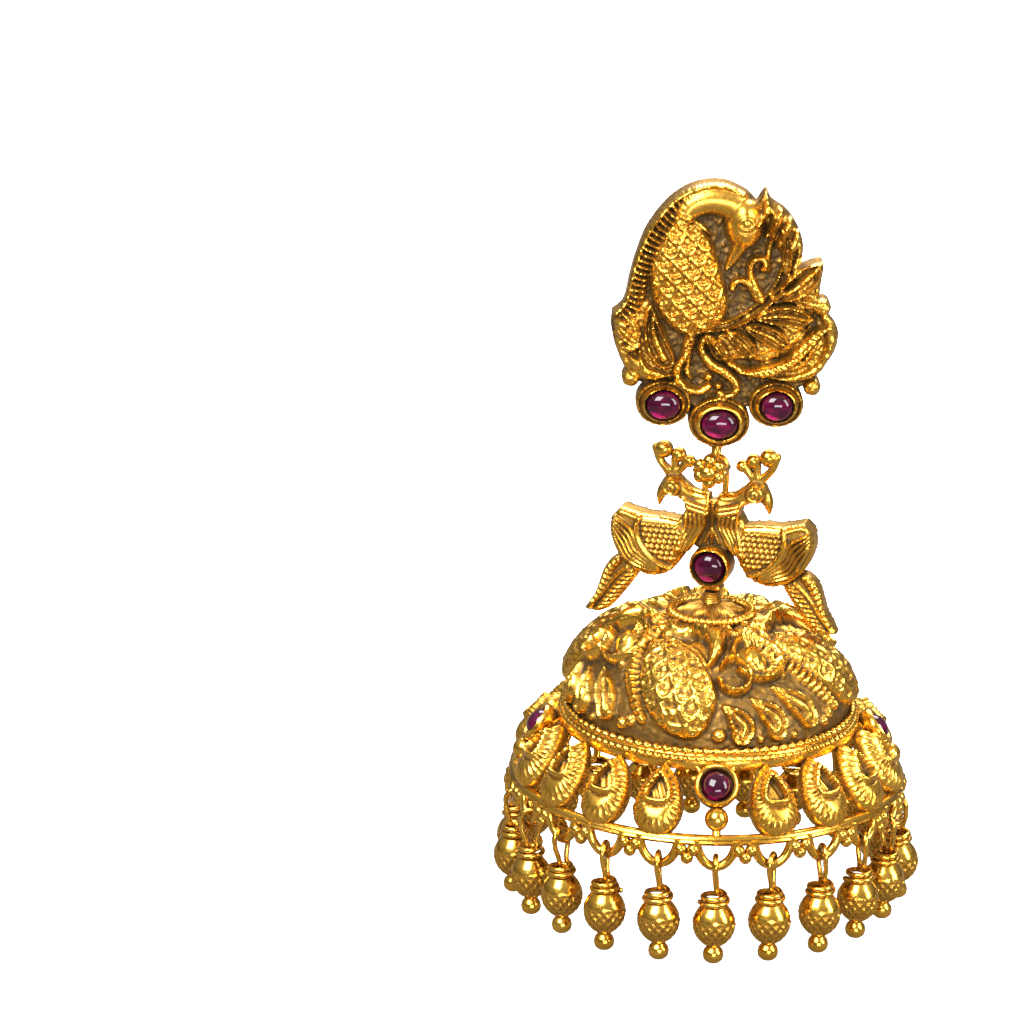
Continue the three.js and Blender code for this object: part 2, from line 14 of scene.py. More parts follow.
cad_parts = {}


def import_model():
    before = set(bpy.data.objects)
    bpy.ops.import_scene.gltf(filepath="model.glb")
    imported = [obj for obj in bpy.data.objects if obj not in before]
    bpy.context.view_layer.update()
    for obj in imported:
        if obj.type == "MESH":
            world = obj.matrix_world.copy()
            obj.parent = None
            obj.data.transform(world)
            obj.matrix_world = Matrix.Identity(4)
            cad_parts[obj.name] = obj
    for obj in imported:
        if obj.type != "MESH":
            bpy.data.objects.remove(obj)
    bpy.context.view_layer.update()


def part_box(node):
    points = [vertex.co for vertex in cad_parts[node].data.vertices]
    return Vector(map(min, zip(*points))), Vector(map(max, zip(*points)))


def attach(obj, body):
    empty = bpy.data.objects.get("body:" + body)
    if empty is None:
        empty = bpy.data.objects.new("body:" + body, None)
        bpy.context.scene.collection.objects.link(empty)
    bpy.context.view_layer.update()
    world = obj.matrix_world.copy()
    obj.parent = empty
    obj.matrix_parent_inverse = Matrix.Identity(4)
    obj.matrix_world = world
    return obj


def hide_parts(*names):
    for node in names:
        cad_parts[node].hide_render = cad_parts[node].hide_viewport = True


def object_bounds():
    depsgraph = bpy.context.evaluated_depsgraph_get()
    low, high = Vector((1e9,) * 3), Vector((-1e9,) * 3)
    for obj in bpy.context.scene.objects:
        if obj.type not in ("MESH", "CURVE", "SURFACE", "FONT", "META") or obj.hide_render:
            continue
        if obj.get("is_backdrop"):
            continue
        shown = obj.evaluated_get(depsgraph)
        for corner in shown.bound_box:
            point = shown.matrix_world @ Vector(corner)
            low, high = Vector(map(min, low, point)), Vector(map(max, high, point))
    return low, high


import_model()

MM = 0.001
rng = np.random.default_rng(7)

# ---------------------------------------------------------------- places taken from the frame


def middle(node):
    """The middle of a CAD node's box, in mm."""
    low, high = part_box(node)
    return (low + high) / 2 / MM


def low_z(node):
    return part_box(node)[0].z / MM


def high_z(node):
    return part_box(node)[1].z / MM


def azimuth(node):
    """Degrees round the bell's axis, from the front towards +X."""
    place = middle(node)
    return math.degrees(math.atan2(place.x - AXIS.x, AXIS.y - place.y))


AXIS = middle("bell_stem")
PENDANT_TURN = -16  # degrees; the link ring lies half way to it, which is the axis of pendant_sway
BELL_TURN = round(azimuth("skirt_ruby_1"))
DOME_TOP_Z = high_z("bell_dome")
FLANGE_LOW_Z = low_z("bell_dome")
FLANGE_HEIGHT = 1.0
FLANGE_Z = FLANGE_LOW_Z + FLANGE_HEIGHT
FLANGE_RADIUS = (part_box("bell_dome")[1].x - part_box("bell_dome")[0].x) / MM / 2

IN_PLACE = Matrix.Identity(4)
PENDANT = Matrix.Translation((AXIS.x, AXIS.y, 0)) @ Matrix.Rotation(math.radians(PENDANT_TURN), 4, "Z")
BELL = Matrix.Translation((AXIS.x, AXIS.y, 0)) @ Matrix.Rotation(math.radians(BELL_TURN), 4, "Z")

# ---------------------------------------------------------------- materials

GOLD_CLEAN = (0.72, 0.385, 0.045)
GOLD_WARM = (0.80, 0.455, 0.07)
# the next two golds colour both the patina in hollows and the painted shade where parts hide each other
GOLD_TONED_AND_SHADED = (0.34, 0.165, 0.022)
GOLD_AGED_AND_SHADED = (0.065, 0.04, 0.014)
PAINTED_SHADE_REACH = 1.0  # mm within which surfaces paint shade on each other through ambient occlusion
RUBY_DARK = (0.016, 0.0003, 0.005)
RUBY_CLOUD = (0.06, 0.0007, 0.017)
# colour of the painted glint, standing in for light focused through the stone
RUBY_PAINTED_GLINT = (0.42, 0.003, 0.12)
RUBY_PAINTED_GLINT_SIDE = [-0.3, -0.7, -0.65]  # the way the side of a stone with the painted glint faces


def new_material(name):
    material = bpy.data.materials.new(name)
    material.use_nodes = True
    return material, material.node_tree, material.node_tree.nodes["Principled BSDF"]


def add_node(tree, kind, output, inputs=None, **settings):
    """Adds a shader node and gives back one output. An input is an output to link, a colour or a number."""
    node = tree.nodes.new("ShaderNode" + kind)
    for name, value in settings.items():
        setattr(node, name, value)
    for name, value in (inputs or {}).items():
        if isinstance(value, bpy.types.NodeSocket):
            tree.links.new(value, node.inputs[name])
        else:
            node.inputs[name].default_value = (*value, 1) if isinstance(value, tuple) else value
    return node.outputs[output]


def noise(tree, where, scale, detail=4.0):
    return add_node(tree, "TexNoise", "Fac", {
        "Vector": where, "Scale": scale, "Detail": detail, "Roughness": 0.6})


def ranged(tree, value, low, high, to_low=0.0, to_high=1.0):
    return add_node(tree, "MapRange", "Result", {
        "Value": value, "From Min": low, "From Max": high, "To Min": to_low, "To Max": to_high})


def sums(tree, operation, first, second, clamp=False):
    return add_node(tree, "Math", "Value", {0: first, 1: second}, operation=operation, use_clamp=clamp)


def mixed(tree, share, first, second):
    return add_node(tree, "Mix", 2, {"Factor": share, 6: first, 7: second}, data_type="RGBA")


def gold(name, patina_and_shade=1.0, polish=0.19):
    """Cast gold: bright on what stands proud, dark brown patina where the relief is deep, and painted shade
    from ambient occlusion in crevices and where parts meet.
    """
    material, tree, shader = new_material(name)
    where = add_node(tree, "TexCoord", "Object")
    deep = add_node(tree, "Attribute", "Fac", attribute_name="cavity")
    shade = add_node(tree, "AmbientOcclusion", "AO", {"Distance": PAINTED_SHADE_REACH * MM}, samples=6)
    blotch = ranged(tree, noise(tree, where, 1500), 0.3, 0.7, 0.75, 1.15)
    # painted shade: ambient occlusion darkens the colour where surfaces hide each other
    painted_shade = ranged(tree, shade, 0.2, 0.8, patina_and_shade, 0.0)
    # the darkening joins the patina in deep relief with that painted shade
    patina_and_painted_shade = sums(tree, "MAXIMUM", sums(tree, "MULTIPLY", deep, patina_and_shade), painted_shade)
    patina_and_painted_shade = sums(tree, "MULTIPLY", patina_and_painted_shade, blotch, clamp=True)
    warm = ranged(tree, noise(tree, where, 260, detail=2.0), 0.35, 0.65)
    clean = mixed(tree, warm, GOLD_CLEAN, GOLD_WARM)
    # the two darker mixes carry both the patina and the painted shade
    toned_and_shaded = mixed(tree, ranged(tree, patina_and_painted_shade, 0.0, 0.5), clean, GOLD_TONED_AND_SHADED)
    aged_and_shaded = mixed(tree, ranged(tree, patina_and_painted_shade, 0.4, 1.0), toned_and_shaded, GOLD_AGED_AND_SHADED)
    tree.links.new(aged_and_shaded, shader.inputs["Base Color"])
    tree.links.new(ranged(tree, patina_and_painted_shade, 0.0, 1.0, 1.0, 0.8), shader.inputs["Metallic"])
    grain = noise(tree, where, 2600)
    rough = ranged(tree, grain, 0.3, 0.7, polish - 0.04, polish + 0.08)
    rough = sums(tree, "ADD", rough, ranged(tree, patina_and_painted_shade, 0.0, 1.0, 0.0, 0.35), clamp=True)
    tree.links.new(rough, shader.inputs["Roughness"])
    fine = add_node(tree, "Bump", "Normal", {"Strength": 0.2, "Distance": 0.04 * MM, "Height": grain})
    tree.links.new(fine, shader.inputs["Normal"])
    return material


def ruby():
    """A dark raspberry stone, clouded, with a painted magenta glint low on the side away from the light."""
    material, tree, shader = new_material("ruby")
    where = add_node(tree, "TexCoord", "Object")
    normal = add_node(tree, "TexCoord", "Normal")
    cloud = ranged(tree, noise(tree, where, 700, detail=3.0), 0.42, 0.68)
    colour = mixed(tree, cloud, RUBY_DARK, RUBY_CLOUD)
    # painted glint: faces that point towards the glint side turn magenta
    painted_glint_facing = add_node(tree, "VectorMath", "Value", {0: normal, 1: RUBY_PAINTED_GLINT_SIDE}, operation="DOT_PRODUCT")
    painted_glint = ranged(tree, painted_glint_facing, 0.9, 1.0, 0.0, 0.5)
    tree.links.new(mixed(tree, painted_glint, colour, RUBY_PAINTED_GLINT), shader.inputs["Base Color"])
    shader.inputs["IOR"].default_value = 1.76
    shader.inputs["Specular IOR Level"].default_value = 0.22
    wear = ranged(tree, noise(tree, where, 1800), 0.4, 0.7, 0.03, 0.08)
    tree.links.new(wear, shader.inputs["Roughness"])
    return material


ANTIQUE = gold("antique_gold")
BRIGHT = gold("bright_gold", patina_and_shade=0.7, polish=0.16)
RUBY = ruby()

# ---------------------------------------------------------------- curves


def spline(points, per_mm=5.0, closed=False):
    """A smooth line through the points, as closely spaced points."""
    points = np.array(points, float)
    if closed:
        ends = np.vstack([points[-1:], points, points[:2]])
    else:
        ends = np.vstack([2 * points[:1] - points[1:2], points, 2 * points[-1:] - points[-2:-1]])
    out = []
    for a, b, c, d in zip(ends, ends[1:], ends[2:], ends[3:]):
        count = max(2, int(np.linalg.norm(c - b) * per_mm))
        t = np.arange(count)[:, None] / count
        out.append(0.5 * (2 * b + (c - a) * t + (2 * a - 5 * b + 4 * c - d) * t ** 2
                          + (3 * b - a - 3 * c + d) * t ** 3))
    if not closed:
        out.append(points[-1:])
    return np.vstack(out)


def outline(runs):
    """A closed outline of smooth runs; a corner stays where two runs meet."""
    parts = []
    for index, run in enumerate(runs):
        start = [] if index == 0 else [runs[index - 1][-1]]
        parts.append(spline(start + list(run))[:-1])
    parts.append(np.array([runs[-1][-1]], float))
    return np.vstack(parts)


def full_turn(count):
    """Angles in equal steps round a full turn."""
    return np.arange(count) / count * 2 * np.pi


def level_ring(radius, z, count, start=0.0):
    """Points round the Z axis, from the front unless start says otherwise."""
    angle = full_turn(count) + start
    return np.stack([radius * np.sin(angle), -radius * np.cos(angle), z + np.zeros(count)], 1)


def circle(x, z, half_width, half_height=None, count=48):
    angle = full_turn(count)
    return np.stack([x + half_width * np.cos(angle), z + (half_height or half_width) * np.sin(angle)], 1)


def mirrored(points):
    """The points again on the other side of x = 0, in reverse order."""
    return [(-x, z) for x, z in reversed(points)]


def inside(polygon, x, z):
    """Which of the places lie inside a polygon."""
    result = np.zeros(x.shape, bool)
    for (ax, az), (bx, bz) in zip(polygon, np.roll(polygon, -1, axis=0)):
        if az != bz:
            result ^= ((az > z) != (bz > z)) & (x < (bx - ax) * (z - az) / (bz - az) + ax)
    return result


# ---------------------------------------------------------------- profiles across a raised line
# Each takes q, the share of the half width (0 on the line), s, the mm along it, and the side (-1 or 1)


def rounded(q, s, side):
    return np.sqrt(1 - q ** 2)


def soft(q, s, side):
    return (1 - q ** 2) ** 2


def plateau(q, s, side):
    return 1 - q ** 6


def double(q, s, side):
    """Two lines with a hollow between them."""
    return np.exp(-((q - 0.72) / 0.2) ** 2) + 0.25 * (1 - q ** 2)


def leaf(q, s, side):
    """A raised border and midrib with hollows between."""
    border = np.exp(-((q - 0.78) / 0.17) ** 2)
    midrib = 0.75 * np.exp(-(q / 0.2) ** 2)
    return 0.5 + 0.7 * np.maximum(border, midrib)


def toothed(pitch, depth=0.7, slant=0.0):
    """A rounded line cut across into teeth; a slant turns the cuts into a rope's."""
    def profile(q, s, side):
        wave = 0.5 + 0.5 * np.cos(2 * np.pi * (s + slant * side * q) / pitch)
        return np.sqrt(1 - q ** 2) * (1 - depth * (1 - wave ** 0.6))
    return profile


# ---------------------------------------------------------------- relief


class Relief:
    """Heights over a grid of places, in mm. A raised line rides on the heights that were last settled."""

    def __init__(self, a, b, lift, ground=0.0):
        self.a = a
        self.b = b
        self.lift = lift
        self.places = lift(a, b)
        self.normals = self.find_normals()
        self.height = np.full(a.shape, float(ground))
        self.base = self.height.copy()

    def find_normals(self):
        down = np.gradient(self.places, axis=0)
        across = np.gradient(self.places, axis=1)
        normal = np.cross(across, down)
        length = np.linalg.norm(normal, axis=2, keepdims=True)
        return normal / np.maximum(length, 1e-9)

    def settle(self):
        self.base = self.height.copy()

    def path(self, points, closed=False):
        flat = spline(points, closed=closed)
        line = self.lift(flat[:, 0], flat[:, 1])
        return np.vstack([line, line[:1]]) if closed else line

    def along(self, line, reach):
        """The grid places near a line, with their distance to it, mm along it, its length and the side."""
        low = line.min(axis=0) - reach
        high = line.max(axis=0) + reach
        near = ((self.places >= low) & (self.places <= high)).all(axis=2)
        points = self.places[near]
        normals = self.normals[near]
        best = np.full(len(points), 1e9)
        travelled = np.zeros(len(points))
        side = np.ones(len(points))
        start = 0.0
        for tail, head in zip(line, line[1:]):
            step = head - tail
            length = np.linalg.norm(step)
            if length < 1e-9:
                continue
            offset = points - tail
            share = np.clip(offset @ step / length ** 2, 0, 1)
            away = offset - share[:, None] * step
            distance = np.einsum("ij,ij->i", away, away)
            closer = distance < best
            best[closer] = distance[closer]
            travelled[closer] = start + share[closer] * length
            turned = np.einsum("ij,ij->i", np.cross(step, away[closer]), normals[closer])
            side[closer] = np.where(turned < 0, -1, 1)
            start += length
        return near, np.sqrt(best), travelled, start, side

    def line(self, points, width, rise, profile=rounded, closed=False, over=False):
        """Raises a line. Width is its half width, or half widths along it; rise is a height or heights."""
        widths = np.atleast_1d(np.array(width, float))
        rises = np.atleast_1d(np.array(rise, float))
        near, distance, s, length, side = self.along(self.path(points, closed), widths.max())
        share = s / length
        half = np.interp(share, np.linspace(0, 1, len(widths)), widths)
        tall = np.interp(share, np.linspace(0, 1, len(rises)), rises)
        q = distance / np.maximum(half, 1e-6)
        hit = q < 1
        values = self.height[near]
        base = values if over else self.base[near]
        raised = base[hit] + tall[hit] * profile(q[hit], s[hit], side[hit])
        values[hit] = raised if tall.max() < 0 or over else np.maximum(values[hit], raised)
        self.height[near] = values

    def groove(self, points, width, depth):
        self.line(points, width, -depth, profile=soft, over=True)

    def leafy(self, points, width, rise):
        """A leaf along a line: narrow at both ends, widest past its middle."""
        self.line(points, [0.25 * width, 0.8 * width, width, 0.9 * width, 0.1 * width], rise, leaf)

    def region(self, polygon):
        """A mask of a closed polygon and the distance in from its edge."""
        line = self.lift(polygon[:, 0], polygon[:, 1])
        line = np.vstack([line, line[:1]])
        near, distance, _, _, _ = self.along(line, 30)
        depth = np.zeros(self.a.shape)
        depth[near] = distance
        mask = inside(polygon, self.a, self.b)
        return mask, np.where(mask, depth, -depth)

    def mound(self, polygon, rise, rounding):
        """Raises a region into a pillow, and returns its mask."""
        mask, depth = self.region(polygon)
        share = np.clip(1 - depth / rounding, 0, 1)
        pillow = self.base + rise * np.sqrt(1 - share ** 2)
        self.height = np.where(mask, np.maximum(self.height, pillow), self.height)
        return mask

    def dot(self, a, b, radius, rise=None):
        """A ball standing half proud."""
        centre = self.lift(np.array([a]), np.array([b]))[0]
        distance = np.linalg.norm(self.places - centre, axis=2)
        bump = np.sqrt(np.clip(1 - (distance / radius) ** 2, 0, 1)) * (rise or radius)
        self.height = np.maximum(self.height, self.base + bump)

    def scales(self, mask, u, v, width, tall, rise, pit, soften=1.0):
        """Overlapping fish scales whose tips point towards -v, each with a raised border and a pit."""
        row = np.floor(v / tall)
        best = np.full(u.shape, -1.0)
        for step in (1, 0):
            this = row + step
            shift = np.where(this % 2 == 0, 0.0, 0.5)
            across = (u / width + shift) % 1 - 0.5
            down = (this + 0.35) - v / tall
            radius = np.hypot(across / 0.55, down / 1.15)
            value = 0.25 + np.exp(-((radius - 0.8) / (0.15 * soften)) ** 2) * 0.85
            value += 0.35 * np.exp(-(radius / 0.22) ** 2) - pit * np.exp(-((radius - 0.42) / 0.18) ** 2)
            fresh = (radius < 1) & (best < 0)
            best = np.where(fresh, value, best)
        value = np.clip(best, 0, None)
        self.height = np.where(mask, self.height + rise * value, self.height)

    def beads(self, mask, u, v, pitch, rise):
        """Rows of small round beads."""
        row = np.round(v / pitch)
        across = (u / pitch + 0.5 * (row % 2)) % 1 - 0.5
        up = v / pitch - row
        bump = np.sqrt(np.clip(1 - (across ** 2 + up ** 2) / 0.23, 0, 1))
        self.height = np.where(mask, self.height + rise * bump, self.height)

    def pitted(self, amount, spacing, seed):
        """Fine irregular pits over everything."""
        draw = np.random.default_rng(seed).normal(size=self.a.shape)
        self.height += amount * (blurred(draw, spacing) / blurred(draw, spacing).std())

    def cavity(self, passes, depth):
        """How deep each place lies below its surroundings, 0 to 1."""
        hollow = (blurred(self.height, passes) - self.height) / depth
        return np.clip(0.25 + hollow, 0, 1)


def blurred(values, passes, wrap=False):
    mode = "wrap" if wrap else "edge"
    for _ in range(passes):
        padded = np.pad(values, ((1, 1), (0, 0)), "edge")
        values = (padded[:-2] + 2 * values + padded[2:]) / 4
        padded = np.pad(values, ((0, 0), (1, 1)), mode)
        values = (padded[:, :-2] + 2 * values + padded[:, 2:]) / 4
    return values


def flat_lift(x, z):
    return np.stack([x, np.zeros_like(x), z], axis=-1)


def flat_grid(low, high, step):
    x = np.arange(low[0], high[0] + step, step)
    z = np.arange(low[1], high[1] + step, step)
    return np.meshgrid(x, z)


# ---------------------------------------------------------------- meshes


def grid_faces(rows, columns, closed=False):
    """Quads between rows of points that each run round; closed also joins the last row to the first."""
    number = np.arange(rows * columns).reshape(rows, columns)
    below = np.roll(number, -1, axis=0)
    quads = np.stack([number, np.roll(number, -1, axis=1), np.roll(below, -1, axis=1), below], -1)
    return quads[:rows if closed else rows - 1].reshape(-1, 4).tolist()


def cap_faces(rows, columns):
    """Triangles from the first and last row to two poles, which are numbered after the rows' points."""
    pole = rows * columns
    last = pole - columns
    faces = []
    for column in range(columns):
        after = (column + 1) % columns
        faces.append([pole, after, column])
        faces.append([pole + 1, last + column, last + after])
    return faces


def moved(points, place):
    """Points carried by a placing matrix."""
    turn = np.array(place)
    return np.array(points, float) @ turn[:3, :3].T + turn[:3, 3]


class Shell:
    """Gathers one or more closed forms, in mm, and makes one piece of them."""

    def __init__(self):
        self.points = []
        self.faces = []
        self.deep = []

    def add(self, points, faces, deep=0.0, place=IN_PLACE):
        """Adds a form; deep says how deep in the relief its points lie, 0 to 1."""
        start = sum(len(form) for form in self.points)
        self.points.append(moved(points, place))
        self.faces += [[int(index) + start for index in face] for face in faces]
        self.deep.append(np.broadcast_to(deep, len(points)))

    def finish(self, name, material, place, body, slot, node, sharp_deg=50):
        """Makes the piece, which rides on a body and replaces a CAD node. The slot is not used."""
        mesh = bpy.data.meshes.new(name)
        points = moved(np.vstack(self.points), place) * MM
        mesh.from_pydata(points.tolist(), [], self.faces)
        mesh.validate()
        shape = bmesh.new()
        shape.from_mesh(mesh)
        bmesh.ops.recalc_face_normals(shape, faces=shape.faces)
        shape.to_mesh(mesh)
        shape.free()
        mesh.polygons.foreach_set("use_smooth", [True] * len(mesh.polygons))
        mesh.set_sharp_from_angle(angle=math.radians(sharp_deg))
        layer = mesh.attributes.new("cavity", "FLOAT", "POINT")
        layer.data.foreach_set("value", np.concatenate(self.deep).astype(np.float32))
        mesh.materials.append(material)
        piece = bpy.data.objects.new(name, mesh)
        bpy.context.scene.collection.objects.link(piece)
        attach(piece, body)
        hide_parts(node)


def single_piece(form, *facts, **more):
    """A piece of one form."""
    shell = Shell()
    shell.add(*form)
    shell.finish(*facts, **more)


def casting(relief, edge, front, back, deep, walls=3, back_deep=None, wall_deep=0.1):
    """Points, faces and depths of a solid between two height fields, over the grid where edge is below 0.

    Front heights go towards -Y and back heights towards +Y.
    """
    step = relief.a[0, 1] - relief.a[0, 0]
    kept = edge < 0.3 * step
    quads = kept[:-1, :-1] & kept[1:, :-1] & kept[:-1, 1:] & kept[1:, 1:]
    used = np.zeros(kept.shape, bool)
    used[:-1, :-1] |= quads
    used[1:, :-1] |= quads
    used[:-1, 1:] |= quads
    used[1:, 1:] |= quads
    number = np.full(kept.shape, -1)
    number[used] = np.arange(used.sum())
    rows, cols = np.nonzero(quads)
    corners = np.stack([number[rows, cols], number[rows, cols + 1],
                        number[rows + 1, cols + 1], number[rows + 1, cols]], 1)
    sides = np.vstack([corners[:, [0, 1]], corners[:, [1, 2]], corners[:, [2, 3]], corners[:, [3, 0]]])
    low = np.sort(sides, axis=1)
    keys = low[:, 0].astype(np.int64) * (used.sum() + 1) + low[:, 1]
    _, first, counts = np.unique(keys, return_index=True, return_counts=True)
    border = sides[first[counts == 1]]
    slope_z, slope_x = np.gradient(edge, step)
    steep = np.maximum(np.hypot(slope_x, slope_z), 0.3)
    x = relief.a[used].copy()
    z = relief.b[used].copy()
    rim = np.zeros(len(x), bool)
    rim[border.ravel()] = True
    shift = np.clip(edge[used] / steep[used], -1.3 * step, 0.6 * step)
    x[rim] -= (shift * slope_x[used] / steep[used])[rim]
    z[rim] -= (shift * slope_z[used] / steep[used])[rim]
    top = np.stack([x, -front[used], z], 1)
    bottom = np.stack([x, back[used], z], 1)
    total = len(x)
    points = [top, bottom]
    depths = [deep[used], deep[used] if back_deep is None else back_deep[used]]
    faces = corners.tolist() + (corners[:, ::-1] + total).tolist()
    rim_ids = np.nonzero(rim)[0]
    order = np.full(total, -1)
    order[rim_ids] = np.arange(len(rim_ids))
    rows_of = [rim_ids]
    offset = 2 * total
    for row in range(1, walls):
        share = row / walls
        points.append(top[rim_ids] * (1 - share) + bottom[rim_ids] * share)
        depths.append(np.full(len(rim_ids), wall_deep))
        rows_of.append(np.arange(len(rim_ids)) + offset)
        offset += len(rim_ids)
    rows_of.append(rim_ids + total)
    for upper, lower in zip(rows_of, rows_of[1:]):
        a = order[border[:, 0]]
        b = order[border[:, 1]]
        faces += np.stack([upper[b], upper[a], lower[a], lower[b]], 1).tolist()
    return np.vstack(points), faces, np.concatenate(depths)


def union(*edges):
    return np.minimum.reduce(edges)


def edge_of(relief, polygon):
    """Distance out from a polygon's edge: below 0 inside it."""
    return -relief.region(polygon)[1]


def stick_edge(relief, points, width):
    """Distance out from a round-ended bar."""
    near, distance, s, length, _ = relief.along(relief.path(points), 30)
    widths = np.atleast_1d(np.array(width, float))
    out = np.full(relief.a.shape, 30.0)
    out[near] = distance - np.interp(s / length, np.linspace(0, 1, len(widths)), widths)
    return out


def lathe(profile, sides, bump=None):
    """A body of revolution about Z from [radius, z] points that start and end on the axis.

    bump(angle, z) gives mm to push out along the radius.
    """
    rows = []
    for radius, z in profile[1:-1]:
        push = 0 if bump is None else bump(full_turn(sides), z)
        rows.append(level_ring(radius + push, z, sides))
    points = np.vstack(rows + [[[0, 0, profile[0][1]], [0, 0, profile[-1][1]]]])
    return points, grid_faces(len(rows), sides) + cap_faces(len(rows), sides)


def swept(path, radius, sides=8, closed=False):
    """A round wire along a line of points. Radius is a number or one value for each point."""
    path = np.array(path, float)
    count = len(path)
    tangent = np.roll(path, -1, 0) - np.roll(path, 1, 0) if closed else np.gradient(path, axis=0)
    tangent /= np.linalg.norm(tangent, axis=1, keepdims=True)
    radii = np.broadcast_to(np.asarray(radius, float), count)
    normal = np.array([0.0, 0, 1]) if abs(tangent[0][2]) < 0.9 else np.array([1.0, 0, 0])
    angle = full_turn(sides)[:, None]
    rings = []
    for index in range(count):
        normal = normal - tangent[index] * (normal @ tangent[index])
        normal /= np.linalg.norm(normal)
        binormal = np.cross(tangent[index], normal)
        rings.append(path[index] + (np.cos(angle) * normal + np.sin(angle) * binormal) * radii[index])
    if closed:
        return np.vstack(rings), grid_faces(count, sides, closed=True)
    ends = [path[:1] - tangent[:1] * radii[0] * 0.5, path[-1:] + tangent[-1:] * radii[-1] * 0.5]
    return np.vstack(rings + ends), grid_faces(count, sides) + cap_faces(count, sides)


def globe(x, y, z, radius, sides=16, dent=0.0):
    """A soldered granule, slightly uneven if dented."""
    lean = np.linspace(0, np.pi, sides // 2 + 1)
    points, faces = lathe([[radius * math.sin(a), radius * math.cos(a)] for a in lean], sides)
    if dent:
        points = points * (1 + dent * np.sin(3 * points[:, [0]] / radius + 1.3))
    return points + np.array([x, y, z]), faces


def forwards(points):
    """Points of a turned form, laid so that its +Z end faces the front, -Y."""
    return np.stack([points[:, 0], -points[:, 2], points[:, 1]], 1)


def stone(name, node, body, place, half_width, half_height, rise):
    """A cabochon with a rounded girdle on a flat back, its dome towards -Y of its place."""
    lean = np.linspace(0, np.pi / 2, 12)
    profile = [[0, rise]] + [[math.sin(a) ** 0.9, rise * math.cos(a) ** 0.8] for a in lean[1:]]
    profile += [[1.0, -0.08], [0.93, -0.16], [0, -0.16]]
    points, faces = lathe(profile, 40)
    points = forwards(points) * np.array([half_width, 1, half_height])
    single_piece((points, faces), name, RUBY, place, body, "ruby", node, sharp_deg=70)


# ---------------------------------------------------------------- ear plaque

PLAQUE_EDGE = [
    [(-9.9, -2.4), (-8.9, -1.4), (-8.4, 0.9), (-7.9, 2.8), (-6.9, 5.4), (-5.0, 7.9), (-2.8, 9.3),
     (-0.4, 9.6), (1.7, 8.8), (2.8, 7.8)],
    [(3.6, 8.9), (4.1, 8.0), (5.6, 6.9), (6.7, 5.2), (7.0, 3.6), (6.8, 2.0)],
    [(8.8, 2.5), (8.7, 0.6), (8.5, -1.2)],
    [(9.6, -2.5), (10.4, -3.6), (10.3, -5.2), (9.4, -6.6), (8.5, -8.2), (6.4, -9.6)],
    [(0, -11.4), (-6.4, -9.4)],
    [(-8.4, -7.8), (-9.5, -5.6), (-10.0, -3.6)],
]
PLAQUE_GRANULES = [(-8.1, -8.4), (8.3, -9.0), (8.9, -1.6)]
GRANULE_RADIUS = 0.8
PLAQUE_GROUND = 2.05
# name, middle x and z, half width and half height, stone half width and half height
PLAQUE_BEZELS = [
    ("left", -5.1, -10.65, 2.5, 2.15, 1.55, 1.3),
    ("middle", 0.0, -12.37, 2.8, 2.33, 1.65, 1.3),
    ("right", 5.1, -10.65, 2.5, 2.15, 1.45, 1.3),
]
STUD_EYE_Z = -14.15
STUD_EYE_RADIUS = 1.05


def plaque_border(relief):
    edge = [(-9.6, -2.4), (-8.7, -1.3), (-8.2, 0.9), (-7.7, 2.8), (-6.7, 5.2), (-4.9, 7.6), (-2.7, 9.0),
            (-0.4, 9.3), (1.6, 8.5)]
    teeth = [(-9.0, -3.1), (-7.95, -1.6), (-7.45, 0.8), (-6.95, 2.6), (-6.05, 4.7), (-4.5, 6.8), (-2.6, 8.15),
             (-0.6, 8.5), (1.2, 8.1)]
    relief.line(teeth, [0.6, 0.75, 0.82, 0.82, 0.82, 0.75, 0.5], [0.8, 1.1, 1.15, 1.1, 0.7],
                toothed(0.54, 0.9))
    relief.line(edge, 0.26, 0.85)


